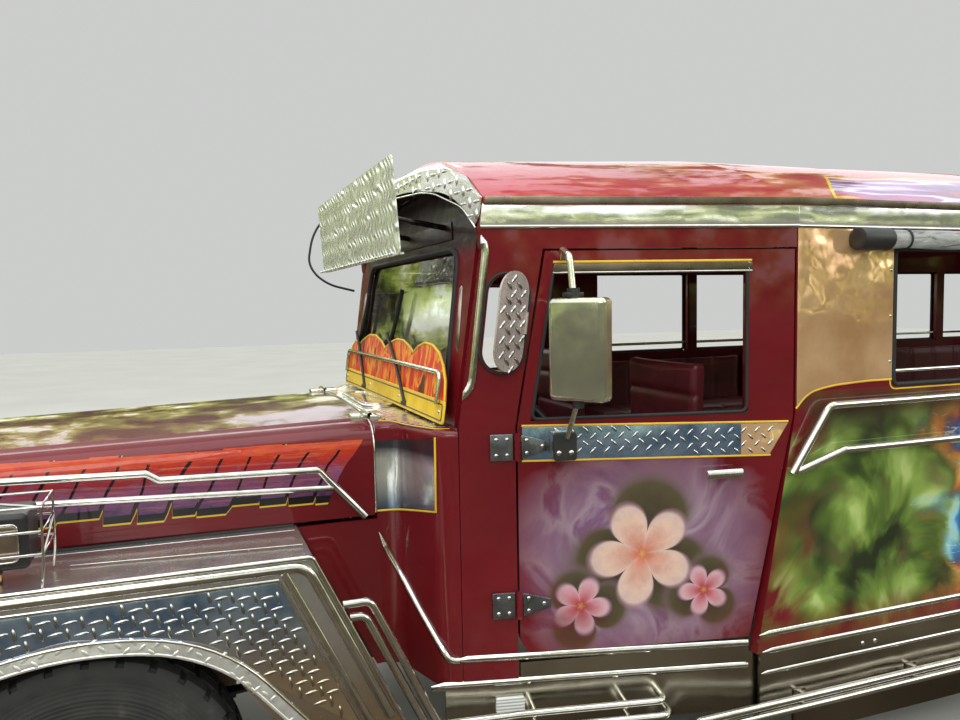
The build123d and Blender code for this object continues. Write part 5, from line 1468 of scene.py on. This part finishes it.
hubLook = {"bolts": 6, "circle": 0.076}
for node, (middle, body, _) in tyreWheels.items():
    rim = node.replace("tyre", "rim")
    side = 1 if middle[1] > 0 else -1
    label = rim.title().replace("_", "")
    turn = (math.radians(-90 * side), 0, 0)
    centreY = surfaceY(rim, middle[0] + 0.030, middle[2] + 0.030, side)
    turnedPiece(f"hubCap{label}", [(-0.012, 0.050), (0.012, 0.052), (0.026, 0.046), (0.038, 0.030), (0.042, 0.012),
            (0.043, 0.002)], (middle[0], centreY, middle[2]), turn, body=body, sides=32, both=False)
    for count in range(hubLook["bolts"]):
        spin = 2 * math.pi * count / hubLook["bolts"]
        x, z = middle[0] + hubLook["circle"] * math.cos(spin), middle[2] + hubLook["circle"] * math.sin(spin)
        nutY = surfaceY(rim, x, z, side)
        turnedPiece(f"hubNut{count}{label}", [(-0.004, 0.0125), (0.014, 0.0125), (0.018, 0.010), (0.019, 0.004)],
                (x, centreY if nutY is None else nutY, z), turn, "hubGrease", body, sides=6, both=False)
print("stage: hubs fitted")

# rolled rain curtains: one clear sheet wound up under each side's eaves, strapped and put in a sleeve
curtainLook = {"start": -2.880, "end": 0.380, "steps": 52, "turns": 4.0, "inner": 0.0115, "outer": 0.0300,
               "middle": (0.985, 1.691), "thick": 0.0009, "straps": (0.20, -0.50, -1.20, -1.90, -2.60)}


def makeCurtain(look, side):
    around = int(look["turns"] * 18)
    spiral = []
    for count in range(around + 1):
        part = count / around
        turn = 2 * math.pi * look["turns"] * part + 1.2
        radius = look["inner"] + (look["outer"] - look["inner"]) * part
        spiral.append((look["start"], look["middle"][0] + radius * math.cos(turn),
                       look["middle"][1] + radius * math.sin(turn)))
    length = sum(math.dist(a, b) for a, b in zip(spiral, spiral[1:]))
    piece = toMesh(newCurve("curtainSpiral", [spiral], "3D", False))
    stride = (look["end"] - look["start"]) / look["steps"]
    bpy.ops.object.mode_set(mode="EDIT")
    bpy.ops.mesh.select_all(action="SELECT")
    for _ in range(look["steps"]):
        bpy.ops.mesh.extrude_region_move(TRANSFORM_OT_translate={"value": (stride, 0, 0)})
    bpy.ops.object.mode_set(mode="OBJECT")
    # slack between the straps, and small creases; the roll stays inside its own round
    for vertex in piece.data.vertices:
        y, z = vertex.co.y - look["middle"][0], vertex.co.z - look["middle"][1]
        radius = math.hypot(y, z)
        turn = math.atan2(z, y)
        strap = min(abs(vertex.co.x - x) for x in look["straps"])
        pinch = math.exp(-(strap / 0.05) ** 2)
        crease = 0.0007 * math.sin(vertex.co.x * 23 + 3 * turn) + 0.0005 * math.sin(vertex.co.x * 61 - 2 * turn)
        keep = (radius + crease * radius / look["outer"]) * (1 - 0.10 * pinch * radius / look["outer"])
        vertex.co.y = look["middle"][0] + keep * math.cos(turn)
        vertex.co.z = look["middle"][1] + keep * math.sin(turn) - 0.0012 * (1 - pinch)
    wall = piece.modifiers.new("wall", "SOLIDIFY")
    wall.thickness = look["thick"]
    wall.offset = 0.0
    applyModifiers(piece)
    if side < 0:
        piece.scale = (1, -1, 1)
    name = "rainCurtain" + ("Left" if side > 0 else "Right")
    return dress(piece, name, "curtainPlastic", angle=80), length


curtains = {side: makeCurtain(curtainLook, side) for side in (1, -1)}
straps = {1: [], -1: []}
y, z = curtainLook["middle"]
outer = curtainLook["outer"]
for count, x in enumerate(curtainLook["straps"]):
    ring = [(x, y + outer * math.cos(t * math.pi / 12), z + outer * math.sin(t * math.pi / 12)) for t in range(24)]
    pair = addTrim(f"curtainStrap{count}Left", None, ring, 0.0030, "blackPlastic", bend=0, closed=True)
    for side, strap in zip((1, -1), pair):
        straps[side].append(strap)
sleeveLine = [(0, 0.0325), (0.004, 0.0345), (0.112, 0.0345), (0.118, 0.0330), (0.120, 0.0260), (0.118, 0.0120)]
pair = turnedPiece("curtainSleeveLeft", sleeveLine, (0.266, y, z), (0, math.radians(90), 0), "blackPlastic", sides=28)
for side, sleeve in zip((1, -1), pair):
    straps[side].append(sleeve)
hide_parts("roll_curtains")
print("stage: rain curtains rolled")

# cushions: foam under maroon vinyl, swollen by cloth pressure
cushionLook = {"voxel": 0.010, "pressure": 4.0, "frames": 20, "cap": 0.012, "inset": 0.007, "sewn": 0.007,
               "seam": 0.011}


def makeCushion(name, low, high, look, grooves=(), grooveAxis=0, outward=(0, 0, 1)):
    # a block with rounded edges, remeshed, swollen by pressure, then sewn down along its grooves
    low, high = Vector(low), Vector(high)
    inset = Vector((look["inset"],) * 3)
    deselectAll()
    bpy.ops.mesh.primitive_cube_add(size=1.0, location=(low + high) / 2)
    piece = bpy.context.object
    piece.scale = high - low - inset * 2
    settle(piece)
    rounding = piece.modifiers.new("rounding", "BEVEL")
    rounding.width = min(piece.dimensions) * 0.32
    rounding.segments = 4
    remesh = piece.modifiers.new("remesh", "REMESH")
    remesh.mode = "VOXEL"
    remesh.voxel_size = look["voxel"]
    applyModifiers(piece)
    start = [vertex.co.copy() for vertex in piece.data.vertices]
    cloth = piece.modifiers.new("swell", "CLOTH")
    cloth.settings.effector_weights.gravity = 0.0
    cloth.settings.use_pressure = True
    cloth.settings.uniform_pressure_force = look["pressure"]
    cloth.settings.quality = 4
    cloth.collision_settings.use_collision = False
    cloth.point_cache.frame_start = 1
    cloth.point_cache.frame_end = look["frames"]
    for frameNumber in range(1, look["frames"] + 1):
        bpy.context.scene.frame_set(frameNumber)
    applyModifiers(piece)
    bpy.context.scene.frame_set(1)
    for vertex, before in zip(piece.data.vertices, start):
        move = vertex.co - before
        if move.length > look["cap"]:
            vertex.co = before + move.normalized() * look["cap"]
    out = Vector(outward)
    for vertex in piece.data.vertices:
        vertex.co = Vector(max(a, min(b, c)) for a, b, c in zip(low, vertex.co, high))
        along = vertex.co[grooveAxis]
        if grooves:
            nearest = min(abs(along - place) for place in grooves)
            height = (vertex.co - (low + high) / 2).dot(out)
            if height > 0:
                vertex.co -= out * look["sewn"] * math.exp(-(nearest / look["seam"]) ** 2)
    return dress(piece, name, "seatVinyl", angle=80)


benchSpan = {"start": -2.890, "length": 1.096, "gap": 0.004, "count": 3}
grooves = [benchSpan["start"] + 0.183 * step for step in range(1, 6)]
seatPad = makeCushion("benchPad0Left", (benchSpan["start"], 0.526, 0.902),
                      (benchSpan["start"] + benchSpan["length"], 0.858, 0.984), cushionLook, grooves)
backPad = makeCushion("benchBack0Left", (benchSpan["start"], 0.867, 0.906),
                      (benchSpan["start"] + benchSpan["length"], 0.911, 1.222), cushionLook, grooves, 0, (0, -1, 0))
cushions = [seatPad, backPad]
for count in range(1, benchSpan["count"]):
    shift = Matrix.Translation((count * (benchSpan["length"] + benchSpan["gap"]), 0, 0))
    cushions.append(copyOf(seatPad, f"benchPad{count}Left", shift, "body"))
    cushions.append(copyOf(backPad, f"benchBack{count}Left", shift, "body"))
for cushion in list(cushions):
    cushions.append(twinOf(cushion, "body"))
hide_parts("bench_cushions")
cabLook = {**cushionLook, "voxel": 0.007, "cap": 0.014}
cabBase = makeCushion("cabSeatBaseLeft", (0.702, 0.192, 0.802), (1.128, 0.638, 0.899), cabLook,
                      (0.81, 0.915, 1.02))
cabBack = makeCushion("cabSeatBackLeft", (0.641, 0.192, 0.832), (0.698, 0.638, 1.328), cabLook,
                      (0.955, 1.080, 1.205), 2, (1, 0, 0))
for cushion in (cabBase, cabBack, twinOf(cabBase, "body"), twinOf(cabBack, "body")):
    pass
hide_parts("cab_seats")
print("stage: cushions swollen")

# rear end: lamps, a blank plate, bright edges and a treaded step
planes["rearStep"] = ((0, 0, 0.420), (1, 0, 0), (0, 1, 0), (0, 0, 1))
planes["dash"] = ((1.400, 0, 0), (0, 1, 0), (0, 0, 1), (-1, 0, 0))
mirrorTurn = math.radians(33)
mirrorOut = Vector((-math.cos(mirrorTurn), -math.sin(mirrorTurn), 0))
planes["mirror"] = (Vector((1.290, 0.966, 0)) + mirrorOut * 0.028, (-math.sin(mirrorTurn), math.cos(mirrorTurn), 0),
                    (0, 0, 1), mirrorOut)
facingBack = (0, math.radians(-90), 0)
lampDish = [(-0.002, 0.048), (0.006, 0.050), (0.012, 0.047), (0.013, 0.043)]
lampDome = [(0.004, 0.043), (0.012, 0.0425), (0.020, 0.036), (0.024, 0.022), (0.0255, 0.004)]
for label, z, finish in (("Stop", 0.900, "redLens"), ("Turn", 0.785, "amberLens"), ("Back", 1.015, "clearLens")):
    turnedPiece(f"tail{label}BezelLeft", lampDish, (-3.000, 0.790, z), facingBack, sides=32)
    turnedPiece(f"tail{label}LensLeft", lampDome, (-3.000, 0.790, z), facingBack, finish, sides=32)
for count, y in enumerate((0.0, 0.26, 0.52)):
    turnedPiece(f"markerLamp{count}Left", [(-0.002, 0.020), (0.008, 0.020), (0.014, 0.016), (0.017, 0.004)],
            (-3.000, y, 1.905 - 0.05 * y), facingBack, "amberLens", sides=20, both=y > 0)
addPlate("rearPlate", "rear", roundedRing(oblong(0.530, 0.565, 0.830, 0.715), 0.012), 0.002, 0.0005, "whitePlate",
        bevel=0.0008, both=False)
addStuds("rearPlateBolts", "rear", [(0.560, 0.640), (0.800, 0.640)], 0.008, lift=0.002)
for name, points, radius in (("rearPost", [(0.452, 0.560), (0.452, 1.800)], 0.009),
                             ("rearEdge", [(0.902, 0.500), (0.902, 1.800)], 0.008),
                             ("rearFoot", [(0.455, 0.500), (0.895, 0.500)], 0.007)):
    addTrim(f"{name}BeadLeft", "rear", points, radius, flat=0.6)
addPlate("rearPanelLeft", "rear", roundedRing(oblong(0.480, 1.120, 0.880, 1.560), 0.05), 0.0015, 0.0003, "bluePlate",
        bevel=0.0004)
addTread("rearPanelTreadLeft", "rear_corners", "rear", oblong(0.500, 1.140, 0.860, 1.540),
        {"length": 0.034, "width": 0.010, "rise": 0.0048, "pitch": 0.0300, "lean": 8})
addTrim("rearPanelLineLeft", "rear", roundedRing(oblong(0.474, 1.114, 0.886, 1.566), 0.052), 0.003, "yellowPaint",
        lift=0.0005, flat=0.5, closed=True)
addTrim("rearLineLeft", "rear", roundedRing(oblong(0.478, 0.540, 0.884, 1.080), 0.03), 0.0022, "yellowPaint",
        lift=0.0003, flat=0.5, closed=True)
addTread("rearStepTread", "rear_step", "rearStep", oblong(-3.176, -0.61, -3.025, 0.61),
        {"length": 0.036, "width": 0.011, "rise": 0.0045, "pitch": 0.0310, "lean": 8}, both=False)
headLine = [(0.0, 2.036), (0.25, 2.020), (0.50, 1.972), (0.72, 1.902), (0.900, 1.815)]
addTrim("rearHeaderBeadLeft", "rear", headLine, 0.006, bend=0.2, flat=0.6)
print("stage: rear end fitted")

# mirror glass and dashboard
addPlate("mirrorFaceLeft", "mirror", roundedRing(oblong(-0.066, 1.282, 0.066, 1.512), 0.02), 0.0012, -0.0002,
        "mirrorGlass", "left_door", bevel=0.0004)
addTrim("mirrorRimLeft", "mirror", roundedRing(oblong(-0.068, 1.280, 0.068, 1.514), 0.02), 0.0035, "rubberTrim",
        "left_door", lift=0.0006, closed=True)
dialRow = ((0.300, 0.038), (0.400, 0.046), (0.500, 0.038), (0.030, 0.026), (-0.050, 0.026))
for count, (y, radius) in enumerate(dialRow):
    place = (1.400, y, 1.082)
    turnedPiece(f"dialRim{count}", [(-0.002, radius), (0.008, radius), (0.011, radius - 0.004),
            (0.006, radius - 0.007)], place, facingBack, sides=28, both=False)
    turnedPiece(f"dialFace{count}", [(0.000, radius - 0.004), (0.004, radius - 0.005), (0.0045, 0.002)], place,
            facingBack, "blackPlastic", sides=28, both=False)
addPlate("dashPanel", "dash", roundedRing(oblong(-0.640, 1.025, 0.640, 1.128), 0.02), 0.0020, 0.0, "polishedSteel",
        bevel=0.0008, both=False)
addTrim("dashBead", "dash", [(-0.670, 1.136), (0.670, 1.136)], 0.005, both=False)
addPlate("gloveLid", "dash", roundedRing(oblong(-0.520, 1.035, -0.200, 1.118), 0.012), 0.004, 0.0018, "maroonPaint",
        bevel=0.0015, both=False)
for count, y in enumerate((0.13, 0.18, 0.23)):
    turnedPiece(f"dashKnob{count}", [(0.0, 0.009), (0.012, 0.008), (0.018, 0.011), (0.026, 0.010), (0.028, 0.003)],
            (1.400, y, 1.060), facingBack, "blackPlastic", sides=18, both=False)
print("stage: cab fitted out")


def roofHeight(x, y):
    hit, place, _, _ = frame["nodes"]["roof_shell"].ray_cast(Vector((x, y, 2.6)), Vector((0, 0, -1)), distance=1.5)
    return place.z if hit else None


# lapped seams across the roof behind the cab
for count, x in enumerate((-2.25, -1.45, -0.65)):
    heights = [(step * 0.0365, roofHeight(x, step * 0.0365)) for step in range(-24, 25)]
    addTrim(f"roofSeam{count}", None, [(x, y, z - 0.0010) for y, z in heights if z is not None], 0.0024, "roofPaint",
            bend=0, both=False)
print("stage: roof seamed")
